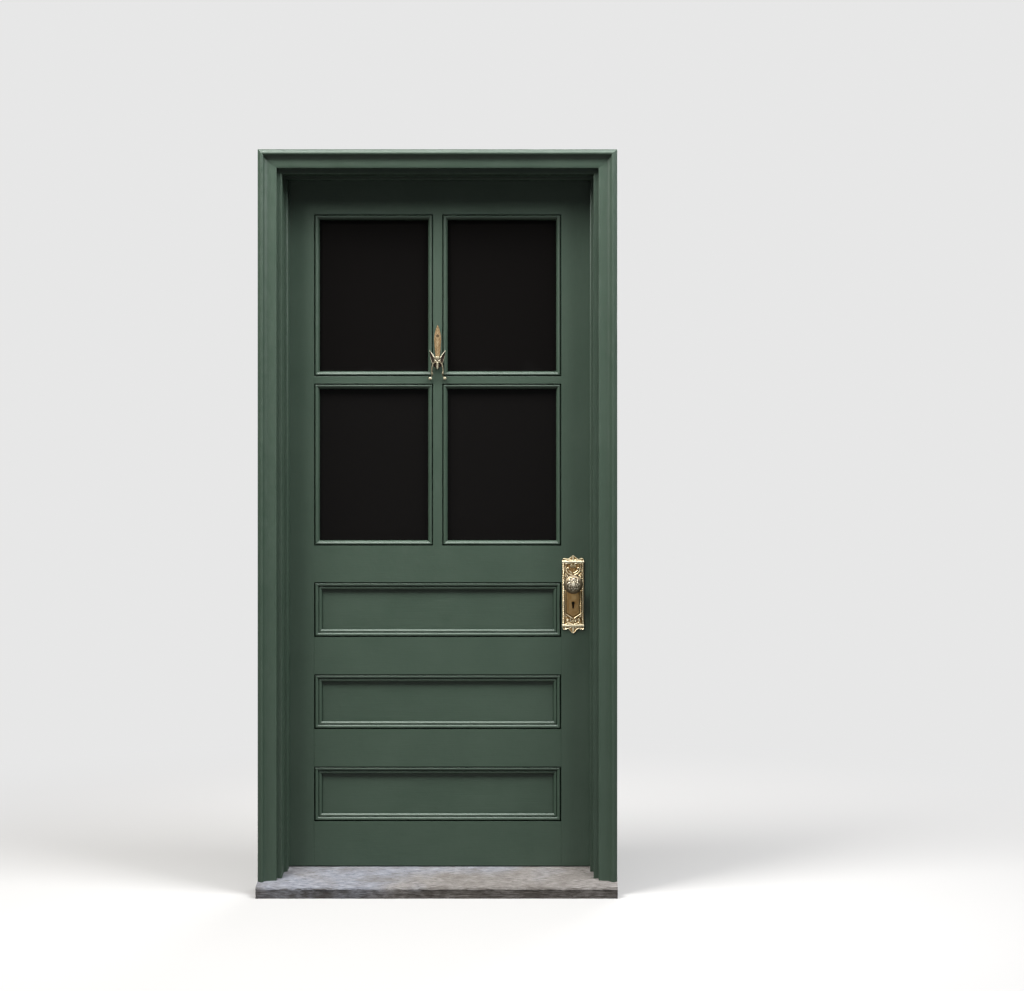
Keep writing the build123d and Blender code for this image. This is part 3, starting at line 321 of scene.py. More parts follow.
def make_piece(name, parts, look, body, stands_for=(), crisp=38):
    """One mesh from grids of quads in mm: doubles merged, normals outwards, smooth but for the edges
    sharper than the crisp angle."""
    starts = np.cumsum([0] + [len(part[0]) for part in parts[:-1]])
    spots = np.concatenate([part[0] for part in parts]) / 1000
    quads = np.concatenate([part[1] + start for part, start in zip(parts, starts)])
    mesh = bpy.data.meshes.new(name)
    mesh.from_pydata(spots, [], quads)
    marks = mesh.attributes.new("wear_and_shade", "FLOAT", "POINT")
    marks.data.foreach_set("value", np.concatenate([part[2] for part in parts]).astype(np.float32))
    shape = bmesh.new()
    shape.from_mesh(mesh)
    bmesh.ops.remove_doubles(shape, verts=shape.verts, dist=1e-6)
    loose = [vertex for vertex in shape.verts if not vertex.link_faces]
    bmesh.ops.delete(shape, geom=loose, context="VERTS")
    bmesh.ops.recalc_face_normals(shape, faces=shape.faces)
    shape.to_mesh(mesh)
    shape.free()
    mesh.shade_smooth()
    mesh.set_sharp_from_angle(angle=math.radians(crisp))
    mesh.materials.append(look)
    made = bpy.data.objects.new(name, mesh)
    bpy.context.scene.collection.objects.link(made)
    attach(made, body)
    if stands_for:
        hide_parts(*stands_for)


def strip(section, start, end, inward, outward, quirks, mitres=(1, 1), rows=60, seed=0):
    """A moulding carried from start to end: its inner edge is shorter by the mitre at each end. Its
    face wanders by a tenth of a millimetre, as a hand-painted one does; its quirks are marked dark, for
    dust and for painted shade."""
    start, end, inward, outward = (np.array(value, float) for value in (start, end, inward, outward))
    length = np.linalg.norm(end - start)
    along = (end - start) / length
    across, height = np.array(section, float).T
    share = np.linspace(0, 1, rows)[:, None]
    run = mitres[0] * across + share * (length - (mitres[0] + mitres[1]) * across)
    wander = 0.07 * hills(run / 45, across / 4 + 7, seed) * (height > 0.01) * np.minimum(1, height / 3)
    points = (start + run[..., None] * along + across[:, None] * inward
              + (height + wander)[..., None] * outward)
    # Marks in the quirks darken the paint: settled dust, and painted shade in the grooves.
    dirt_and_shade_marks = sum(np.exp(-((across - spot) / wide) ** 4) for spot, wide in quirks)
    return closed(points, 0.5 + 0.5 * np.clip(dirt_and_shade_marks, 0, 1))


moulding_section = [(0, 0), (0, 4), (0, 7), (0.4, 7.15), (1.8, 7.0), (3.1, 7.15), (3.5, 7.5), (3.5, 9.6)]
moulding_section += [(3.6, 10.9)] + arc((3.6, 10.9), (4.7, 12.3), (6.6, 12.45), 5)
moulding_section += arc((6.6, 12.45), (11.0, 11.0), (13.3, 7.0), 8)
moulding_section += [(13.8, 6.2), (14.3, 8.7)] + arc((14.3, 8.7), (17.2, 9.3), (20.0, 7.9), 6)
moulding_section += arc((20.0, 7.9), (22.6, 5.2), (23.9, 1.1), 5) + [(24, 0.6), (24, 0)]
# Where the quirks lie across each section, and how wide: there the paint is darkened for dust and painted
# shade.
moulding_quirks = [(1.6, 2.2), (13.9, 0.8), (24.0, 0.9)]
bead_section = [(0, 0), (0, 6), (0, 12), (0.4, 12.1), (1.6, 12.0), (2.6, 12.1), (3.0, 12.5), (3.0, 13.8)]
bead_section += [(3.2, 15.2)] + arc((3.2, 15.2), (5.0, 16.9), (6.9, 16.95), 5)
bead_section += arc((6.9, 16.95), (12.5, 12.9), (15, 6), 9) + [(15, 3), (15, 0)]
bead_quirks = [(1.3, 2.0)]

opening_x = (-370.0, 358.5)
panel_z = ((738.5, 900.0), (467.0, 628.5), (195.5, 357.0))
pane_z = {"upper": (1507.0, 1984.0), "lower": (1008.0, 1485.0)}
pane_x = {"left": (-370.0, -19.25), "right": (7.75, 358.5)}


def strips_round(section, quirks, x_range, z_range, base_y, facing, seed):
    """Four strips round the inside of an opening, mitred at its corners: foot, right, head and left."""
    (left, right), (low, high) = x_range, z_range
    corners = [(left, base_y, low), (right, base_y, low), (right, base_y, high), (left, base_y, high)]
    inward = [(0, 0, 1), (-1, 0, 0), (0, 0, -1), (1, 0, 0)]
    return [strip(section, corners[side], corners[(side + 1) % 4], inward[side], (0, facing, 0), quirks,
                  seed=seed + side) for side in range(4)]


for face, base_y, facing in (("street", 13.0, -1), ("house", 31.5, 1)):
    parts = []
    for number, heights in enumerate(panel_z):
        parts += strips_round(moulding_section, moulding_quirks, opening_x, heights, base_y, facing,
                              seed=10 * number)
    make_piece(f"{face}_mouldings", parts, paint_across, "door", [f"{face}_panel_mouldings"])
glass_y = 18.0
for number, (row, heights) in enumerate(pane_z.items()):
    for column, widths in pane_x.items():
        parts = strips_round(bead_section, bead_quirks, widths, heights, glass_y, -1, seed=40 + 10 * number)
        make_piece(f"{row}_{column}_glazing_beads", parts, paint_across, "door",
                   [f"{row}_{column}_beads"])

# Casings: brick mouldings of painted pine nailed over the edges of the jambs. The uprights stand on
# the sill's slope and meet the head in mitres.
casing_section = [(0, 0), (0, 8), (0, 13.3), (0.5, 14.4), (1.7, 15.0), (9, 15.4), (18, 15.9), (26, 16.4)]
casing_section += [(27, 16.7)] + arc((27, 16.7), (34, 21.2), (37.4, 27.3), 7)
casing_section += arc((37.4, 27.3), (41.6, 28.9), (47, 26.1), 7)
casing_section += arc((47, 26.1), (51.9, 22.6), (54, 17.8), 5) + [(54, 12), (54, 5), (54, 0)]
casing_x, casing_y, casing_head_z = 466, -88, 2104
sill_flat_z, sill_slope_y, sill_degrees = 62, -5, 11.1


def sill_top(y):
    """Height of the sill's top: flat under the leaf, then sloping down to the nose."""
    return sill_flat_z - np.maximum(0, sill_slope_y - y) * math.tan(math.radians(sill_degrees))


def upright_casing(side, seed):
    """One upright casing: rings of the section from the sill's slope up to the mitre."""
    across, height = np.array(casing_section).T
    depth = casing_y - height
    foot = sill_top(depth)
    share = np.linspace(0, 1, 150)[:, None]
    rise = foot + share * (casing_head_z + across - foot)
    on_face = (height > 0.01) * (across > 0.01) * (across < 53.9)
    wander = 0.22 * hills(rise / 60, across / 6 + 3, seed) * on_face
    points = np.stack(np.broadcast_arrays(side * (casing_x + across), depth + wander, rise), -1)
    return closed(points)


for name, side, seed in (("left_casing", -1, 61), ("right_casing", 1, 62)):
    make_piece(f"street_{name}", [upright_casing(side, seed)], paint_up, "frame", [name])
head = strip(casing_section, (-casing_x, casing_y, casing_head_z), (casing_x, casing_y, casing_head_z),
             (0, 0, 1), (0, -1, 0), [], mitres=(-1, -1), rows=120, seed=63)
make_piece("street_head_casing", [head], paint_across, "frame", ["head_casing"])

# Sill: one bare board, bleached silver by the weather, its grain raised, with drying cracks, a few
# gouges and a nose eaten away by rain. Its underside has the drip kerf. Its front face below the
# nose is painted dark: moss and soiling, and painted shade under the nose.
sill_back_y, sill_front_y, board_half = 44.5, -150, 520
nose_y, nose_z = -140.31, 23.68
back_flat = [(y, sill_flat_z) for y in np.linspace(sill_back_y, sill_slope_y, 34)]
slope = [(y, sill_top(y)) for y in np.linspace(sill_slope_y, nose_y, 104)[1:]]
nose = arc((nose_y, 35.45), (-147.27, 31.30), (sill_front_y, nose_z), 12)
front = [(sill_front_y, z) for z in np.linspace(nose_z, 0, 18)[1:]]
under = [(-143, 0), (-136, 0), (-136, 2.5), (-136, 5), (-133, 5), (-130, 5), (-130, 2.5)]
under += [(y, 0) for y in (-130, -90, -45, 0, sill_back_y)] + [(sill_back_y, z) for z in (15, 31, 47)]
weathered = len(back_flat + slope + nose + front)
ring_y, ring_z = np.array(back_flat + slope + nose + front + under, float).T
board_x = np.linspace(-board_half, board_half, 330)[:, None]
girth = np.concatenate([[0], np.cumsum(np.hypot(np.diff(ring_y), np.diff(ring_z)))])
drift = girth + 5 * hills(board_x / 160, girth / 90, 71) + 1.2 * hills(board_x / 37, girth / 20, 72)
grain = 0.5 + 0.5 * hills(board_x / 130, drift / 3.1, 73)
fine = 0.5 + 0.5 * hills(board_x / 60, drift / 1.3, 74)
exposed = np.clip((-2 - ring_y) / 12, 0, 1) * (np.arange(len(ring_y)) < weathered)
edge = np.exp(-((ring_y - sill_front_y) / 9) ** 2) * exposed
bites = 0.9 * hills(board_x / 70, 0 * girth + 2, 75)
nibbles = 0.6 * hills(board_x / 18, girth / 14, 76)
dip = exposed * (0.45 * grain ** 2 + 0.18 * fine)
dip = dip + edge * (1.0 + bites + nibbles)
for crack_x, crack_y, half_length, half_width, depth in (
    (-60, -36, 9, 1.6, 3.0), (-5, -92, 4, 1.8, 2.6), (276, -58, 11, 1.3, 2.4), (262, -70, 6, 1.2, 2.0),
    (-250, -62, 150, 0.8, 1.3), (120, -112, 210, 0.7, 1.2), (330, -34, 90, 0.8, 1.3),
    (-120, -140, 120, 0.8, 1.2), (-420, -95, 60, 0.9, 1.5), (60, -75, 70, 0.6, 1.0),
    (420, -128, 80, 0.8, 1.4),
):
    path = crack_y + 2.0 * hills(board_x / 40, 0 * board_x + crack_y, 77)
    reach = np.clip(1 - ((board_x - crack_x) / half_length) ** 2, 0, 1) ** 0.5
    dip = dip + depth * reach * exposed * np.exp(-((ring_y - path) / half_width) ** 2) * (ring_z > 20)
on_top = (ring_z > 26) | (ring_y > -140)
worn_y = np.maximum(ring_y + dip * np.where(on_top, 0.15, 1.0), sill_front_y)
worn_z = np.maximum(ring_z - dip * np.where(on_top, 1.0, 0.1), 0)
sill_points = np.stack(np.broadcast_arrays(board_x, worn_y, worn_z), -1)
# Below the nose the front face is painted dark: moss and soiling, and painted shade under the nose.
shaded = ring_z < 25 + 6 * hills(board_x / 16, girth / 9, 79)
sill_wear_and_shade = np.clip(0.95 - dip / 2.6, 0, 1) * np.where(shaded, 0.36, 1.0)

silver, tree, shader, where = new_look("weathered_board")
wear_and_shade = wear_and_shade_number(tree)
grain_lines = noise(tree, where, 300.0, 6.0, 0.68, (0.14, 1, 1))
wash = noise(tree, where, 3.1, 3.0, 0.5)
patches = noise(tree, where, 16.0, 7.0, 0.72, (0.5, 1, 1))
specks = noise(tree, where, 170.0, 3.0, 0.55, (0.28, 1, 1))
fibres = noise(tree, where, 900.0, 3.0, 0.6, (0.2, 1, 1))
cool = ramp(tree, grain_lines, [(0.32, (0.057, 0.058, 0.067)), (0.47, (0.137, 0.142, 0.161)),
                                (0.66, (0.231, 0.238, 0.261))])
warm = ramp(tree, grain_lines, [(0.32, (0.054, 0.047, 0.043)), (0.47, (0.134, 0.123, 0.115)),
                                (0.66, (0.221, 0.209, 0.198))])
board = mix(tree, grey(tree, wash, 0.0, 1.0, 0.42, 0.58), cool, warm)
board = mix(tree, grey(tree, patches, 0.0, 0.62, 0.47, 0.64), board, (0.080, 0.070, 0.060))
board = mix(tree, grey(tree, specks, 0.0, 0.85, 0.66, 0.71), board, (0.034, 0.027, 0.022))
# The lower the number, the darker the board: darker where it dips into cracks, gouges and the eaten nose,
# and painted shade on the front face below the nose.
rot_and_shade_in_soft_grain = grey(tree, wear_and_shade, 1.0, 0.0, 0.0, 0.62)
rot_and_shade_in_hard_grain = grey(tree, wear_and_shade, 0.8, 0.0, 0.0, 0.50)
rot_and_shade = mix(tree, grey(tree, grain_lines, 0.0, 1.0, 0.42, 0.56), rot_and_shade_in_soft_grain, rot_and_shade_in_hard_grain)
board = mix(tree, rot_and_shade, board, (0.026, 0.021, 0.016))
link(tree, board, shader.inputs["Base Color"])
shader.inputs["Roughness"].default_value = 0.86
shader.inputs["Specular IOR Level"].default_value = 0.25
link(tree, bump(tree, fibres, 0.0008, 0.7, bump(tree, grain_lines, 0.0014, 0.9)), shader.inputs["Normal"])
make_piece("weathered_sill", [closed(sill_points, sill_wear_and_shade)], silver, "frame", ["sill"])

# Glass: four old drawn panes with a faint wave, near black as panes look from outside by day: they
# are opaque, and the dark room behind them is painted into them as painted shade. Each rests against
# a lip of the woodwork, and its beads hold it in place.
dark, tree, shader, where = new_look("dark_glass")
# Near-black colour: painted shade of the room behind the pane.
shader.inputs["Base Color"].default_value = (0.0042, 0.0038, 0.0036, 1)
shader.inputs["Roughness"].default_value = 0.035
shader.inputs["Specular IOR Level"].default_value = 0.05
link(tree, bump(tree, noise(tree, where, 7.0, 2.0, 0.5), 0.004, 0.25), shader.inputs["Normal"])
for name in ("upper_left_pane", "upper_right_pane", "lower_left_pane", "lower_right_pane"):
    nodes[name].data.materials.clear()
    nodes[name].data.materials.append(dark)

# Lock plates: cast brass, screwed on each face, with a crest at each end, two bars, roped borders,
# scrollwork above the knob and below the shield, and a plain shield with the keyhole in it. Old
# lacquer stays dark in the hollows and is rubbed off the high places.


def metal(name, dark_tone, middle_tone, light_tone, bright_tone, rough):
    """Cast metal: dark in the hollows, bright where the wear-and-shade number is high, mottled in between.
    """
    look, tree, shader, where = new_look(name)
    blotch = noise(tree, where, 160.0, 4.0, 0.6)
    pits = noise(tree, where, 900.0, 3.0, 0.6)
    level = mix(tree, 0.22, wear_and_shade_number(tree), blotch)
    tones = [(0.16, dark_tone), (0.36, middle_tone), (0.54, light_tone), (0.82, bright_tone)]
    link(tree, ramp(tree, level, tones), shader.inputs["Base Color"])
    shader.inputs["Metallic"].default_value = 0.80
    link(tree, grey(tree, blotch, rough - 0.06, rough + 0.12), shader.inputs["Roughness"])
    link(tree, bump(tree, pits, 0.0003, 0.6), shader.inputs["Normal"])
    return look


brass = metal("aged_brass", (0.080, 0.056, 0.022), (0.345, 0.195, 0.066), (0.500, 0.375, 0.185),
              (0.920, 0.840, 0.620), 0.46)
bronze = metal("worn_bronze", (0.022, 0.015, 0.010), (0.150, 0.115, 0.070), (0.360, 0.300, 0.200),
               (0.880, 0.820, 0.660), 0.44)
pale_bronze = metal("pale_bronze", (0.040, 0.026, 0.021), (0.185, 0.155, 0.100), (0.370, 0.335, 0.235),
                    (0.780, 0.730, 0.600), 0.48)
dull_brass = metal("dull_brass", (0.085, 0.058, 0.032), (0.245, 0.158, 0.076), (0.350, 0.270, 0.160),
                   (0.560, 0.480, 0.340), 0.58)
lock_x, knob_z = 393.4, 897.0
leaf_faces = (("street", 0.0, -1), ("house", 44.5, 1))


def bezier(points, steps=22):
    """Points along a smooth curve that starts and ends on its first and last control points."""
    made = np.zeros((steps, 2))
    share = np.linspace(0, 1, steps)[:, None]
    last = len(points) - 1
    for order, point in enumerate(points):
        made += math.comb(last, order) * share ** order * (1 - share) ** (last - order) * np.array(point)
    return made


def raised_leaf(a, b, points, wide, narrow):
    """Height from 0 to 1 of a rounded leaf that follows a curve and tapers from one width to another."""
    path = bezier(points)
    widths = np.linspace(wide, narrow, len(path))
    best = np.full(a.shape, 9.0)
    for (path_a, path_b), width in zip(path, widths):
        best = np.minimum(best, ((a - path_a) ** 2 + (b - path_b) ** 2) / width ** 2)
    return np.sqrt(np.clip(1 - best, 0, 1))


def eased(value, low, high):
    """0 below low, 1 above high, and an eased step between."""
    share = np.clip((value - low) / (high - low), 0, 1)
    return share * share * (3 - 2 * share)


def relief(place, faces_kept, front, back, wear_and_shade):
    """A plate from a grid: front and back faces where they are kept, and walls along every open edge.
    Place gives x and z of the grid's points, front and back their y."""
    index = np.arange(front.size).reshape(front.shape)
    points = np.concatenate([np.stack([place[0], y, place[1]], -1).reshape(-1, 3) for y in (front, back)])
    quads = quads_over(index)[faces_kept]
    under = front.size
    walls = []
    for axis, (near, far) in ((0, (index[:, :-1], index[:, 1:])), (1, (index[:-1, :], index[1:, :]))):
        padded = np.pad(faces_kept.astype(int), [(1, 1), (0, 0)] if axis == 0 else [(0, 0), (1, 1)])
        open_edge = np.diff(padded, axis=axis) != 0
        near, far = near[open_edge], far[open_edge]
        walls.append(np.stack([near, far, far + under, near + under], -1))
    quads = np.concatenate([quads, quads[:, ::-1] + under, *walls])
    return points, quads, np.concatenate([wear_and_shade.ravel(), np.full(wear_and_shade.size, 0.4)])


def snapped(a, b, distance, step):
    """Moves grid points that lie close to an outline onto it, so that the cut edge runs smoothly."""
    away = distance(a, b)
    slope_a = (distance(a + 0.01, b) - distance(a - 0.01, b)) / 0.02
    slope_b = (distance(a, b + 0.01) - distance(a, b - 0.01)) / 0.02
    near = np.abs(away) < 0.55 * step
    return np.where(near, a - away * slope_a, a), np.where(near, b - away * slope_b, b)


def round_hole(centre_b, radius):
    """A round hole on the middle line: the distance to its edge, negative inside."""
    return lambda a, b: np.hypot(a, b - centre_b) - radius


def keyhole(a, b):
    """Distance to the keyhole's edge, negative inside: a round top with a straight slot below."""
    slot = np.maximum(np.abs(a) - 2.2, np.abs(b + 66) - 7.5)
    return np.minimum(round_hole(-58.5, 4.0)(a, b), slot)


def clear_of(away):
    """Which quads lie outside the holes, from the distances at their corners."""
    return (away[:-1, :-1] + away[1:, :-1] + away[1:, 1:] + away[:-1, 1:]) / 4 > 0


# On a plate, a runs across from its middle line and b runs up from the knob's axis, in mm.
plate_half, screw_hole, knob_hole = 32, 4.4, 8.4
plate_foot, plate_head, foot_crest, head_crest = -128, 67, 20, 16
plate_thickness, bar_height = 2.4, 7
foot_screw, head_screw = -111, 50
rope_middle, rope_half, rope_lay = 29, 3.1, 5.8
shield_half, shield_head, shield_foot = 18.5, -20, -99
collar_radius = 17
plate_holes = (keyhole, round_hole(0, knob_hole), round_hole(foot_screw, screw_hole),
               round_hole(head_screw, screw_hole))
# One half of the scrollwork: the curve of each leaf, and its widths at the root and at the tip.
scrolls = (
    ([(3, 24), (12, 27), (26, 30), (24, 47), (14, 52), (10, 45), (15, 41)], 2.3, 1.2),
    ([(24, 58), (17, 59), (11, 60), (5, 57)], 2.0, 0.9), ([(24, 36), (24.5, 46), (20, 54)], 1.9, 0.9),
    ([(3, 30), (9, 33), (12, 38)], 2.1, 0.9), ([(5, 56), (7, 51), (6, 46)], 1.7, 0.8),
    ([(14, 19), (20, 24), (24, 30)], 2.0, 0.9), ([(17, 14), (21, 18), (24, 23)], 1.7, 0.8),
    ([(18, 7), (21, 10), (24, 15)], 1.8, 0.8), ([(18, 0), (21, 3), (24, 8)], 1.8, 0.8),
    ([(18, -8), (21, -5), (24, 0)], 1.8, 0.8), ([(18, -15), (21, -12), (24, -7)], 1.8, 0.8),
    ([(3, -119), (14, -120), (24, -115), (23, -100), (13, -101), (12, -108), (17, -110)], 2.2, 1.0),
    ([(3, -103), (9, -99), (17, -94), (24, -89)], 1.9, 1.0), ([(6, -113), (9, -108), (8, -103)], 1.8, 0.8),
    ([(24, -119), (20, -119), (17, -117)], 1.6, 0.8), ([(24, -95), (22, -98), (19, -100)], 1.7, 0.8),
)


def crest_height(a, rise):
    """How far a crest stands out past its bar at a distance from the middle line: lobe, dip and point."""
    share = np.abs(a) / plate_half
    steps = [1, 0.86, 0.63, 0.40, 0.30, 0.36, 0.46, 0.45, 0.40, 0]
    return rise * np.interp(share, [0, 0.12, 0.25, 0.38, 0.50, 0.60, 0.72, 0.85, 0.95, 1], steps)


def plate_grid():
    """The plate's grid: columns across, rows from the lower crest to the upper one, the points beside a
    hole moved onto its edge. Also the distance from each point to the plate's outline."""
    a = plate_half * np.linspace(-1, 1, 101)[None, :] * np.ones((361, 1))
    low, high = plate_foot - crest_height(a, foot_crest), plate_head + crest_height(a, head_crest)
    foot_row, head_row = plate_foot + 5, plate_head - 5
    rise = np.linspace(0, 1, 361)[:, None]
    b = np.where(rise < 0.08, low + (rise / 0.08) * (foot_row - low),
                 np.where(rise > 0.94, head_row + (rise - 0.94) / 0.06 * (high - head_row),
                          foot_row + (rise - 0.08) / 0.86 * (head_row - foot_row)))
    for hole in plate_holes:
        a, b = snapped(a, b, hole, 0.64)
    return a, b, np.minimum(plate_half - np.abs(a), np.minimum(high - b, b - low))


def lock_plate(face_y, facing):
    """One plate. Its height is the sum of border, ropes, leaves, shield, collar and crests, all worked
    out from the place on the plate, and the higher a place stands, the more it is rubbed."""
    a, b, inside = plate_grid()
    side = np.abs(a)
    border = eased(side, 25.4, 26.6)
    rope = 0.5 + 0.5 * np.cos(2 * math.pi * (b + 0.9 * (side - rope_middle)) / rope_lay)
    round_bar = np.sqrt(np.clip(1 - ((side - rope_middle) / rope_half) ** 2, 0, 1))
    height = plate_thickness + border * (0.8 + (0.1 + 1.5 * rope) * round_bar)
    height -= 0.9 * np.exp(-((side - 24.9) / 0.7) ** 2) * (b < 60) * (b > -121)
    shield = np.maximum(side - shield_half, np.maximum(b - shield_head, shield_foot - b + 0.62 * side))
    field = eased(shield, 0.6, 2.2) * (1 - border)
    leaves = np.zeros(a.shape)
    for points, wide, narrow in scrolls:
        leaves = np.maximum(leaves, raised_leaf(side, b, points, wide, narrow))
    leaves = np.maximum(leaves, 0.22 + 0.34 * hills(a / 2.1, b / 2.1, 83))
    twist = 0.5 + 0.5 * np.sin(2 * math.pi * (b - 1.1 * side) / 5.4)
    beside_shield = (b < shield_head) & (b > -88)
    ribbon = twist * eased(side, 19.4, 20.6) * (1 - eased(side, 23.4, 24.6))
    height += 1.9 * field * np.where(beside_shield, 0.75 * ribbon, leaves) * (b < 60.5) * (b > -121.5)
    height += 1.5 * (1 - eased(shield, -0.9, 0.3))
    from_knob = np.hypot(a, b)
    collar = 3.4 + 1.2 * np.sqrt(np.clip(1 - ((from_knob - 13.2) / 4.2) ** 2, 0, 1))
    height = np.where(from_knob < collar_radius, collar, height)
    top, foot = b > plate_head - 1, b < plate_foot + 1
    edge_line = np.exp(-((inside - 1.3) / 1.0) ** 2)
    from_volute = np.hypot(side - 22, np.where(top, b - plate_head - 3, plate_foot - 3 - b))
    volute = np.exp(-((from_volute - 2.3) / 0.9) ** 2)
    middle_leaf = np.where(top, raised_leaf(side, b, [(0, 68), (0.5, 73), (0, 79)], 3.4, 0.8),
                           raised_leaf(side, b, [(0, -129), (0.5, -138), (0, -147)], 3.8, 0.8))
    wing = np.where(top, raised_leaf(side, b, [(5, 68), (9, 71), (15, 70)], 1.6, 0.8),
                    raised_leaf(side, b, [(6, -129), (10, -134), (16, -131)], 1.8, 0.8))
    crest = 2.5 + 1.2 * np.maximum.reduce([edge_line, volute, middle_leaf, wing])
    height = np.where(top | foot, crest, height)
    height -= 0.8 * np.exp(-(np.clip(inside, 0, 9) / 0.45) ** 2)
    high_places = np.clip((height - 2.5) / 1.9, 0, 1)
    wear_and_shade = 0.10 + 0.86 * high_places ** 0.9 - 0.55 * border * (1 - rope) ** 1.5
    # The shield's left strip, a below -13, is painted darker as painted shade.
    shield_wear_and_shade = 0.38 + 0.07 * hills(a / 9, b / 14, 81) - 0.06 * (a < -13)
    shield_wear_and_shade -= 0.30 * np.exp(-(np.clip(keyhole(a, b), 0, 9) / 1.1) ** 2)
    wear_and_shade = np.where((shield < -0.6) & (from_knob > collar_radius), shield_wear_and_shade, wear_and_shade)
    wear_and_shade = np.where(top | foot, 0.35 + 0.5 * (crest - 2.5), wear_and_shade)
    kept = clear_of(np.stack([hole(a, b) for hole in plate_holes]).min(0))
    return relief((lock_x + a, knob_z + b), kept, face_y + facing * height, np.full(a.shape, face_y), wear_and_shade)


def whole_turn(count):
    """Angles all the way round, without the last one, which is the first again."""
    return np.linspace(0, 2 * math.pi, count + 1)[:-1]


def plate_bar(face_y, facing, low, beads):
    """A rounded bar across the plate, 66 mm long, with a row of beads where asked."""
    turn = whole_turn(28)
    along = np.concatenate([[-33, -32.8, -32.4], np.linspace(-31.8, 31.8, 130), [32.4, 32.8, 33]])[:, None]
    shrink = np.sqrt(np.clip(1 - ((np.abs(along) - 31.8) / 1.3).clip(0) ** 2, 0.1, 1))
    swell = 1 - beads * 0.16 * (1 - np.abs(np.cos(math.pi * along / 4.4)))
    half = bar_height / 2 * np.sign(np.cos(turn)) * np.abs(np.cos(turn)) ** 0.8 * shrink
    out = np.maximum(0, np.sin(turn)) ** 0.75 * 3.1 * shrink * swell
    bar_y, bar_z = face_y + facing * (plate_thickness + out), knob_z + low + bar_height / 2 + half
    return closed(np.stack(np.broadcast_arrays(lock_x + along, bar_y, bar_z), -1), 0.45 + 0.5 * (out / 3.1))


for face, face_y, facing in leaf_faces:
    parts = [lock_plate(face_y, facing), plate_bar(face_y, facing, plate_head - bar_height, beads=0),
             plate_bar(face_y, facing, plate_foot, beads=1)]
    make_piece(f"{face}_lock_plate", parts, brass, "door", [f"{face}_plate"])

# Knobs: turned bronze, one on each end of the spindle, with a foot, a neck and a flattened head. The
# face has a band of cast leaves between a fine ring and a groove, and a smooth boss in its middle.
# The hollows are dark with age. The boss is painted near white, rubbed by hands and a painted
# highlight, and the flank behind the face is painted dark as painted shade and painted reflection.
turned = [(8, 12.25), (8, 4), (8, -5), (11.7, -5.05), (12, -5.4), (12, -7.6)]
turned += arc((12, -7.6), (9.8, -11), (9, -16), 8) + arc((9, -16), (13, -33), (22, -38), 14)
turned += arc((22, -38), (28, -47), (25, -53), 16)
dome_r = np.concatenate([np.linspace(24.7, 7, 92), np.linspace(6.8, 0.3, 22)])
boss_y = -60.6 - 1.38 * np.sqrt(np.clip(1 - (dome_r / 7) ** 2, 0, 1))
dome_y = np.where(dome_r > 6.9, -15.1 - np.sqrt(45.42 ** 2 - dome_r ** 2), boss_y)
knob_rows = np.concatenate([np.array(turned), np.stack([dome_r, dome_y], -1)])
round_knob = whole_turn(192)[None, :]
from_axis, out_y = knob_rows[:, :1], knob_rows[:, 1:]
on_face = out_y < -53.05
band_inner, band_outer = 6.8, 19.2
rises_in, falls_out = eased(from_axis, band_inner, 7.8), eased(from_axis, 18.2, band_outer)
band = on_face * rises_in * (1 - falls_out)
out_share = (from_axis - band_inner) / (band_outer - band_inner)
leaves = np.cos(8 * round_knob) * np.sin(3 * math.pi * out_share)
leaves = leaves + 0.8 * np.cos(16 * round_knob + 2.4 * out_share) * np.cos(5 * math.pi * out_share)
leaves = np.clip(leaves + 0.5 * hills(round_knob * 5.09, from_axis / 2.2 + 0 * round_knob, 95), -1, 1)
fine_rings = on_face * (np.exp(-((from_axis - 6.6) / 0.45) ** 2) + np.exp(-((from_axis - 20.2) / 0.8) ** 2))
moat = on_face * np.exp(-((from_axis - 19.0) / 0.45) ** 2)
raised = 0.50 * band * leaves + 0.42 * fine_rings - 0.45 * moat
girdle = -0.35 * np.exp(-((out_y + 50.5) / 0.6) ** 2) * (from_axis > 20)
knob_face_y = out_y - raised * on_face
knob_radius = from_axis + girdle - 0.25 * raised * on_face * (from_axis / 28)
knob_wear_shade_and_highlight = 0.34 + 0.60 * band * leaves - 0.30 * moat + 0.16 * fine_rings - 0.5 * (girdle < -0.1)
# The boss: near white, rubbed by hands and a painted highlight.
knob_wear_shade_and_highlight = np.where(on_face & (from_axis < 6.0), 0.98 - 0.035 * from_axis, knob_wear_shade_and_highlight)
# Behind the face the flank is painted dark: painted shade and painted reflection.
knob_wear_shade_and_highlight = np.clip(np.where(out_y > -51, 0.14, knob_wear_shade_and_highlight), 0.03, 1)
for face, face_y, facing in leaf_faces:
    rings = np.broadcast_arrays(lock_x + knob_radius * np.cos(round_knob), face_y - facing * knob_face_y,
                                knob_z + knob_radius * np.sin(round_knob))
    make_piece(f"{face}_cast_knob", [closed(np.stack(rings, -1), knob_wear_shade_and_highlight)], bronze, "knobs",
               [f"{face}_knob"], crisp=60)

# Screws: slotted brass screws, countersunk, their heads a little domed. They hold the lock plates and
# the knocker's leaf on the door, and each slot stands as it came when the screw was driven home.


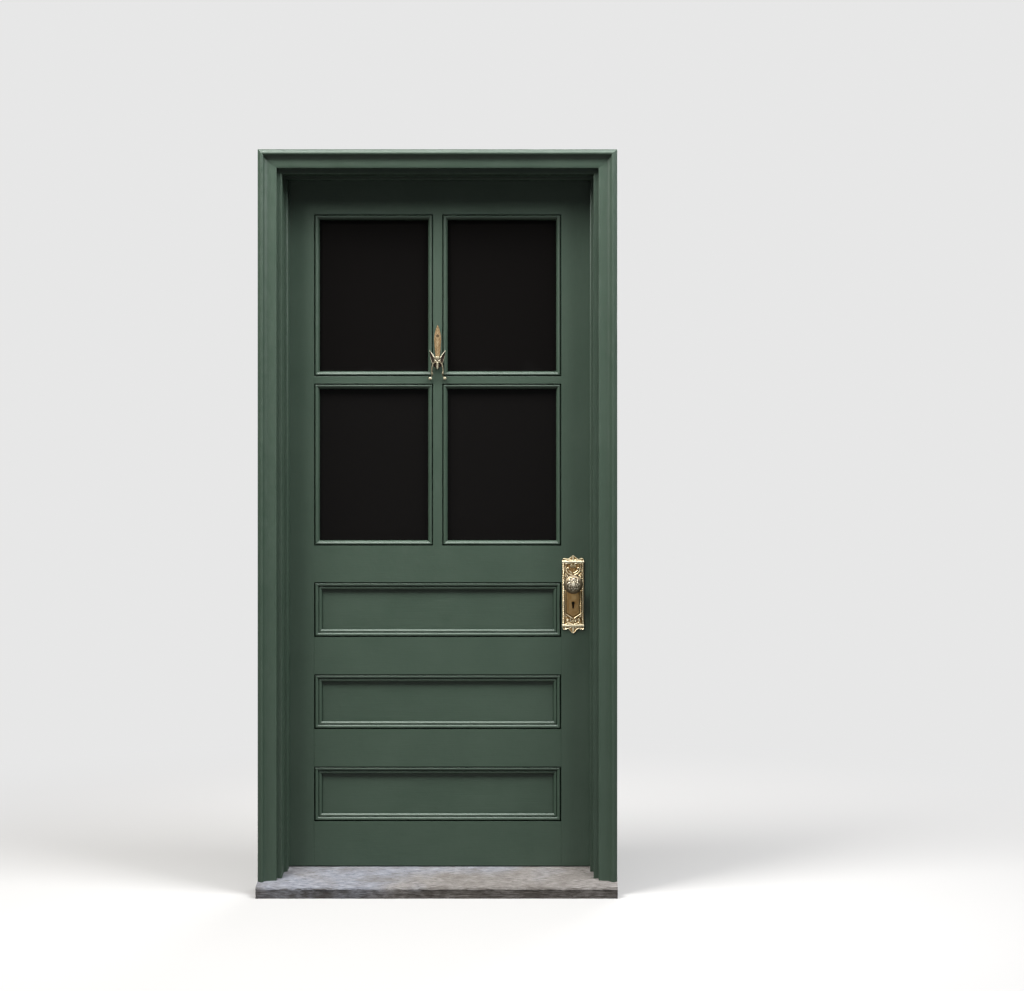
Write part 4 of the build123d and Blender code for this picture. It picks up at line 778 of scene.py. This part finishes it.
def slotted(place, outward, upward, length, slot_turn, shine=0.62):
    """A countersunk screw: head dome with a slot, cone and shank, turned round its axis. Shine is how
    bright its head is."""
    outward, upward = np.array(outward, float), np.array(upward, float)
    sideways = np.cross(upward, outward)
    dome = np.linspace(0.05, 3.7, 24)
    reach = np.concatenate([dome, [4.0, 4.15, 4.2, 2.2, 2.2, 1.6]])[:, None]
    lift = np.concatenate([0.55 * (1 - (dome / 4.4) ** 2), [0.05, 0.0, -0.1, -2.1, -length + 2, -length]])
    lift = lift[:, None]
    turn = whole_turn(96)[None, :]
    slot = 1 - eased(np.abs(reach * np.sin(turn)), 0.38, 0.58)
    lift = lift - 1.1 * slot * (reach < 4.3) * (lift > -1)
    turned = (turn + slot_turn)[..., None]
    direction = np.cos(turned) * sideways + np.sin(turned) * upward
    points = np.array(place, float) + reach[..., None] * direction + lift[..., None] * outward
    return closed(points, np.where(lift > -0.2, shine, 0.15))


up = (0, 0, 1)
parts = [slotted((lock_x, face_y + 3 * facing, knob_z + screw), (0, facing, 0), up, 16, slot_turn)
         for (face, face_y, facing), slot_turns in zip(leaf_faces, ((0.5, 1.9), (1.1, 0.2)))
         for screw, slot_turn in zip((head_screw, foot_screw), slot_turns)]
make_piece("plate_slotted_screws", parts, brass, "door", ["plate_screws"])
knocker_x, pin_z, knocker_screw = -5.75, 1562.0, 64
parts = [slotted((knocker_x, -3, pin_z + knocker_screw), (0, -1, 0), up, 20, 0.9, shine=0.1)]
make_piece("knocker_slotted_screw", parts, dull_brass, "door", ["knocker_screw"])

# Knocker plate: a cast brass leaf with a raised midrib and turned edges, and two rounded ears that
# hold the pin.
leaf_edge = np.array([(6.3, -4.0), (6.35, 4.0)] + arc((6.35, 4.0), (8.2, 24), (10.4, 52.25), 14)
                     + arc((10.4, 52.25), (7.5, 76), (0, 96.5), 16))
up_leaf = np.linspace(-4, 96.2, 150)[:, None]
half_leaf = np.interp(up_leaf, leaf_edge[:, 1], leaf_edge[:, 0])
leaf_a = half_leaf * np.linspace(-1, 1, 41)[None, :]
leaf_b = up_leaf + 0 * leaf_a
hole = round_hole(knocker_screw, screw_hole)
leaf_a, leaf_b = snapped(leaf_a, leaf_b, hole, 0.6)
from_edge = half_leaf - np.abs(leaf_a)
rib = np.exp(-(leaf_a / 1.1) ** 2) * eased(leaf_b, 4, 16) * (1 - eased(leaf_b, 80, 92))
side_veins = 0.5 + 0.5 * np.cos(2 * math.pi * (leaf_b - 1.3 * np.abs(leaf_a)) / 9.5)
leaf_height = 1.0 + 1.35 * np.clip(from_edge / 8, 0, 1) ** 0.6 + 0.6 * rib
leaf_height -= 0.22 * side_veins * (from_edge > 1.2)
leaf_height += 0.45 * np.exp(-((from_edge - 0.9) / 0.6) ** 2) - 0.6 * np.exp(-(from_edge / 0.35) ** 2)
leaf_height = np.minimum(leaf_height, 3.0)
kept = clear_of(hole(leaf_a, leaf_b))
leaf_worn = 0.16 + 0.13 * leaf_height + 0.09 * hills(leaf_a / 5, leaf_b / 9, 91) - 0.10 * side_veins
leaf_worn = np.clip(leaf_worn + 0.12 * np.exp(-((from_edge - 1.2) / 0.9) ** 2), 0, 1)
parts = [relief((knocker_x + leaf_a, pin_z + leaf_b), kept, -leaf_height, 0 * leaf_a, leaf_worn)]
ear_outline = [(0, -4), (-4.5, -4), (-9, -4)] + arc((-9, -4), (-13, 0), (-9, 4), 18) + [(-4.5, 4), (0, 4)]
ear_y, ear_z = np.array(ear_outline, float).T
for low, high in ((-6.3, -3.3), (3.3, 6.3)):
    along = np.array([low, low + 0.12, low + 0.4, high - 0.4, high - 0.12, high])[:, None]
    shrink = np.array([0.90, 0.96, 1.0, 1.0, 0.96, 0.90])[:, None]
    shrunk_y = np.minimum((ear_y + 5) * shrink - 5, 0)
    points = np.stack(np.broadcast_arrays(knocker_x + along, shrunk_y, pin_z + ear_z * shrink), -1)
    parts.append(closed(points, 0.55))
make_piece("knocker_leaf", parts, dull_brass, "door", ["knocker_plate"])

# Striker: a cast bronze head that hangs on the pin, with a steep brow, two polished oval eyes, a
# narrow snout, hollow ears, two thin horns above, and two legs that end in polished balls.


def tube(path, radii, ring=22):
    """A round bar along a path of points, its ends closed: rings square to the path."""
    path = np.array(path, float)
    ahead = np.gradient(path, axis=0)
    ahead /= np.linalg.norm(ahead, axis=1)[:, None]
    across = np.cross(ahead, (0, 1, 0))
    across /= np.linalg.norm(across, axis=1)[:, None]
    third = np.cross(across, ahead)
    turn = whole_turn(ring)
    radii = np.broadcast_to(radii, len(path))[:, None, None]
    around = np.cos(turn)[None, :, None] * across[:, None] + np.sin(turn)[None, :, None] * third[:, None]
    return path[:, None] + radii * around


fall = np.concatenate([[3.4, 3.3], np.linspace(3.0, -33.8, 92), [-34.1, -34.3]])[:, None]
face_levels = [-34.3, -33, -31, -29, -26, -22, -18, -9.5, -4, 0, 2, 3.4]
face_halves = [1.2, 2.6, 4.4, 8.0, 11.0, 12.4, 11.8, 10.8, 10.2, 9.0, 7.4, 5.0]
half_face = np.interp(fall, face_levels, face_halves)
share = np.linspace(-1, 1, 61)[None, :]
face_a = half_face * np.sign(share) * np.abs(share) ** 0.85
face_b = fall + 0 * face_a
side = np.abs(face_a)
eye_a, eye_b = 5.5, -9.9
from_eye_a = side - eye_a
from_eye_b = face_b - eye_b - 0.25 * from_eye_a
eye = np.exp(-(from_eye_a / 2.7) ** 4 - (from_eye_b / 1.8) ** 4)
socket = (np.exp(-(from_eye_a / 3.9) ** 4 - (from_eye_b / 2.9) ** 4) - eye).clip(0)
crease = np.exp(-((side - 0.62 * (face_b + 13.0)) / 0.8) ** 2) * (face_b > -14)
snout = np.exp(-(side / 2.2) ** 2) * eased(-face_b, 10, 16)
hollow = eased(side, 2.6, 4.6) * eased(-face_b, 15.5, 19)
face_front = 14.9 + 0.9 * eye - 0.7 * crease - 0.5 * socket + 1.4 * snout - 2.8 * hollow
face_front -= 3.4 * np.abs(share) ** 3 + 1.6 * eased(face_b, 0.5, 3.4)
face_back = np.where(face_b > -4.4, 13.4, 7.0 + 0 * face_a)
face_front = np.clip(face_front, face_back + 0.3, 16.7)
face_worn = 0.44 + 0.36 * eye - 0.50 * crease - 0.42 * socket + 0.12 * snout - 0.62 * hollow
face_worn -= 0.30 * np.abs(share) ** 4
face_worn = np.clip(face_worn - 0.12 * eased(-face_b, 12, 18) * (side > 2.5), 0, 1)
whole_face = np.ones(np.subtract(face_a.shape, 1), bool)
parts = [relief((knocker_x + face_a, pin_z + face_b), whole_face, -face_front, -face_back, face_worn)]
pin_y, turn = -9, whole_turn(40)
along = np.array([-3, -2.9, -2.6, 2.6, 2.9, 3])[:, None]
radius = np.array([3.6, 3.85, 4, 4, 3.85, 3.6])[:, None]
barrel_y, barrel_z = pin_y + radius * np.cos(turn), pin_z + radius * np.sin(turn)
parts.append(closed(np.stack(np.broadcast_arrays(knocker_x + along, barrel_y, barrel_z), -1), 0.45))
neck = [(knocker_x, -11, pin_z - 8.5), (knocker_x, -11, pin_z - 5), (knocker_x, -10.8, pin_z - 1)]
parts.append(closed(tube(neck, [2.3, 2.2, 2.0]), 0.4))
ball_a, ball_b, ball_y, ball_radius = 21.5, -62.0, -5.3, 5
for side in (-1, 1):
    bow = bezier([(7.6, -9.0), (8.2, -1.5), (11.5, 6.0), (24.0, 20.0)], 30)
    horn = np.stack([knocker_x + side * bow[:, 0], np.full(30, -11.5), pin_z + bow[:, 1]], -1)
    parts.append(closed(tube(horn, np.linspace(2.1, 0.75, 30)), 0.66))
    out_share, down_share = np.linspace(0, 1, 30)[:, None], np.linspace(0, 1, 36)[None, :]
    inner = bezier([(21.5, 16.5), (12.0, 4.0), (8.5, -3.0), (9.5, -18.0)], 36)
    outer = bezier([(23.0, 17.5), (22.0, 6.0), (20.5, -8.0), (12.5, -22.0)], 36)
    ear_a, ear_b = np.moveaxis(inner + out_share[..., None] * (outer - inner), -1, 0)
    lip = np.clip(1 - (1 - out_share) * 6, 0, 1) + np.clip(1 - (1 - down_share) * 9, 0, 1) * (1 - out_share)
    lip = np.clip(lip + np.clip(1 - out_share * 9, 0, 1), 0, 1)
    ear_front = -10.9 - 1.9 * np.sqrt(lip) + 0.5 * np.sin(math.pi * out_share)
    ear_back = -9.2 - 0.2 * lip
    ear_worn = 0.05 + 0.62 * lip * eased(down_share, 0.15, 0.5)
    whole_ear = np.ones(np.subtract(lip.shape, 1), bool)
    parts.append(relief((knocker_x + side * ear_a, pin_z + ear_b), whole_ear, ear_front, ear_back, ear_worn))
    thigh = bezier([(11.5, -17.0), (16.8, -28.0), (17.4, -42.0), (15.2, -49.0)])
    shin = bezier([(15.2, -49.0), (14.4, -52.0), (18.0, -56.0), (ball_a, ball_b)], 13)
    leg_a, leg_b = np.concatenate([thigh, shin[1:]]).T
    reach = np.linspace(0, 1, len(leg_a))
    leg_y = -11.3 + 6.0 * eased(reach, 0.55, 1.0)
    knee, hip = np.exp(-((reach - 0.60) / 0.10) ** 2), np.exp(-(reach / 0.2) ** 2)
    leg = np.stack([knocker_x + side * leg_a, leg_y, pin_z + leg_b], -1)
    parts.append(closed(tube(leg, 1.9 - 0.5 * reach + 0.9 * knee + 0.5 * hip), 0.42))
    lift = np.linspace(-math.pi / 2, math.pi / 2, 26)[1:-1][:, None]
    level = ball_radius * np.cos(lift)
    ball_x = knocker_x + side * ball_a + level * np.cos(turn)
    ball_z = pin_z + ball_b + ball_radius * np.sin(lift)
    ball = np.broadcast_arrays(ball_x, ball_y + level * np.sin(turn), ball_z)
    parts.append(closed(np.stack(ball, -1), 0.56))
make_piece("horned_striker", parts, pale_bronze, "knocker", ["knocker_striker"], crisp=50)

# Lock and hinges: the solids as they are, with their arrises eased. The bolts, the plates that they
# pass and the screws in them are brass, the lock's inside is japanned iron, the hinges are steel.


def plain_metal(name, tone, rough, shine=1.0):
    """Plain worked metal with faint blotches of tarnish."""
    look, tree, shader, where = new_look(name)
    blotch = noise(tree, where, 70.0, 4.0, 0.6)
    darker = tuple(0.62 * value for value in tone)
    link(tree, ramp(tree, blotch, [(0.35, darker), (0.65, tone)]), shader.inputs["Base Color"])
    shader.inputs["Metallic"].default_value = shine
    link(tree, grey(tree, blotch, rough, rough + 0.16), shader.inputs["Roughness"])
    return look


plain_brass = plain_metal("plain_brass", (0.62, 0.43, 0.20), 0.28)
steel = plain_metal("dull_steel", (0.33, 0.32, 0.30), 0.38)
iron = plain_metal("japanned_iron", (0.035, 0.032, 0.030), 0.42, 0.4)
for look, width, names in (
    (plain_brass, 0.25, ("lock_faceplate", "strike_plate", "latch_bolt", "dead_bolt", "lock_screws",
                         "strike_screws", "knocker_pin")),
    (steel, 0.3, ("top_hinge_frame_leaf", "middle_hinge_frame_leaf", "bottom_hinge_frame_leaf",
                  "top_hinge_door_leaf", "middle_hinge_door_leaf", "bottom_hinge_door_leaf", "hinge_pins",
                  "frame_hinge_screws", "leaf_hinge_screws", "spindle")),
    (iron, 0.3, ("lock_case", "lock_hub")),
):
    for name in names:
        ease(name, width, look)

# Levers: a stack of three thin iron levers stands across the keyhole inside the lock case, as it does
# in any lever lock. They are dark plates that fill the keyhole with painted shade.
lever_half_width, lever_half_height, lever_middle_z = 5.2, 11.5, 832.5
lever_fronts, lever_thickness = (19.0, 21.6, 24.2), 2.0
lever_x = lever_half_width * np.array([-1, 1, 1, -1])
lever_z = lever_middle_z + lever_half_height * np.array([-1, -1, 1, 1])
parts = []
for front_y in lever_fronts:
    ends = np.array([front_y, front_y + lever_thickness])[:, None]
    parts.append(closed(np.stack(np.broadcast_arrays(lock_x + lever_x, ends, lever_z), -1)))
make_piece("keyhole_shade_levers", parts, iron, "door")
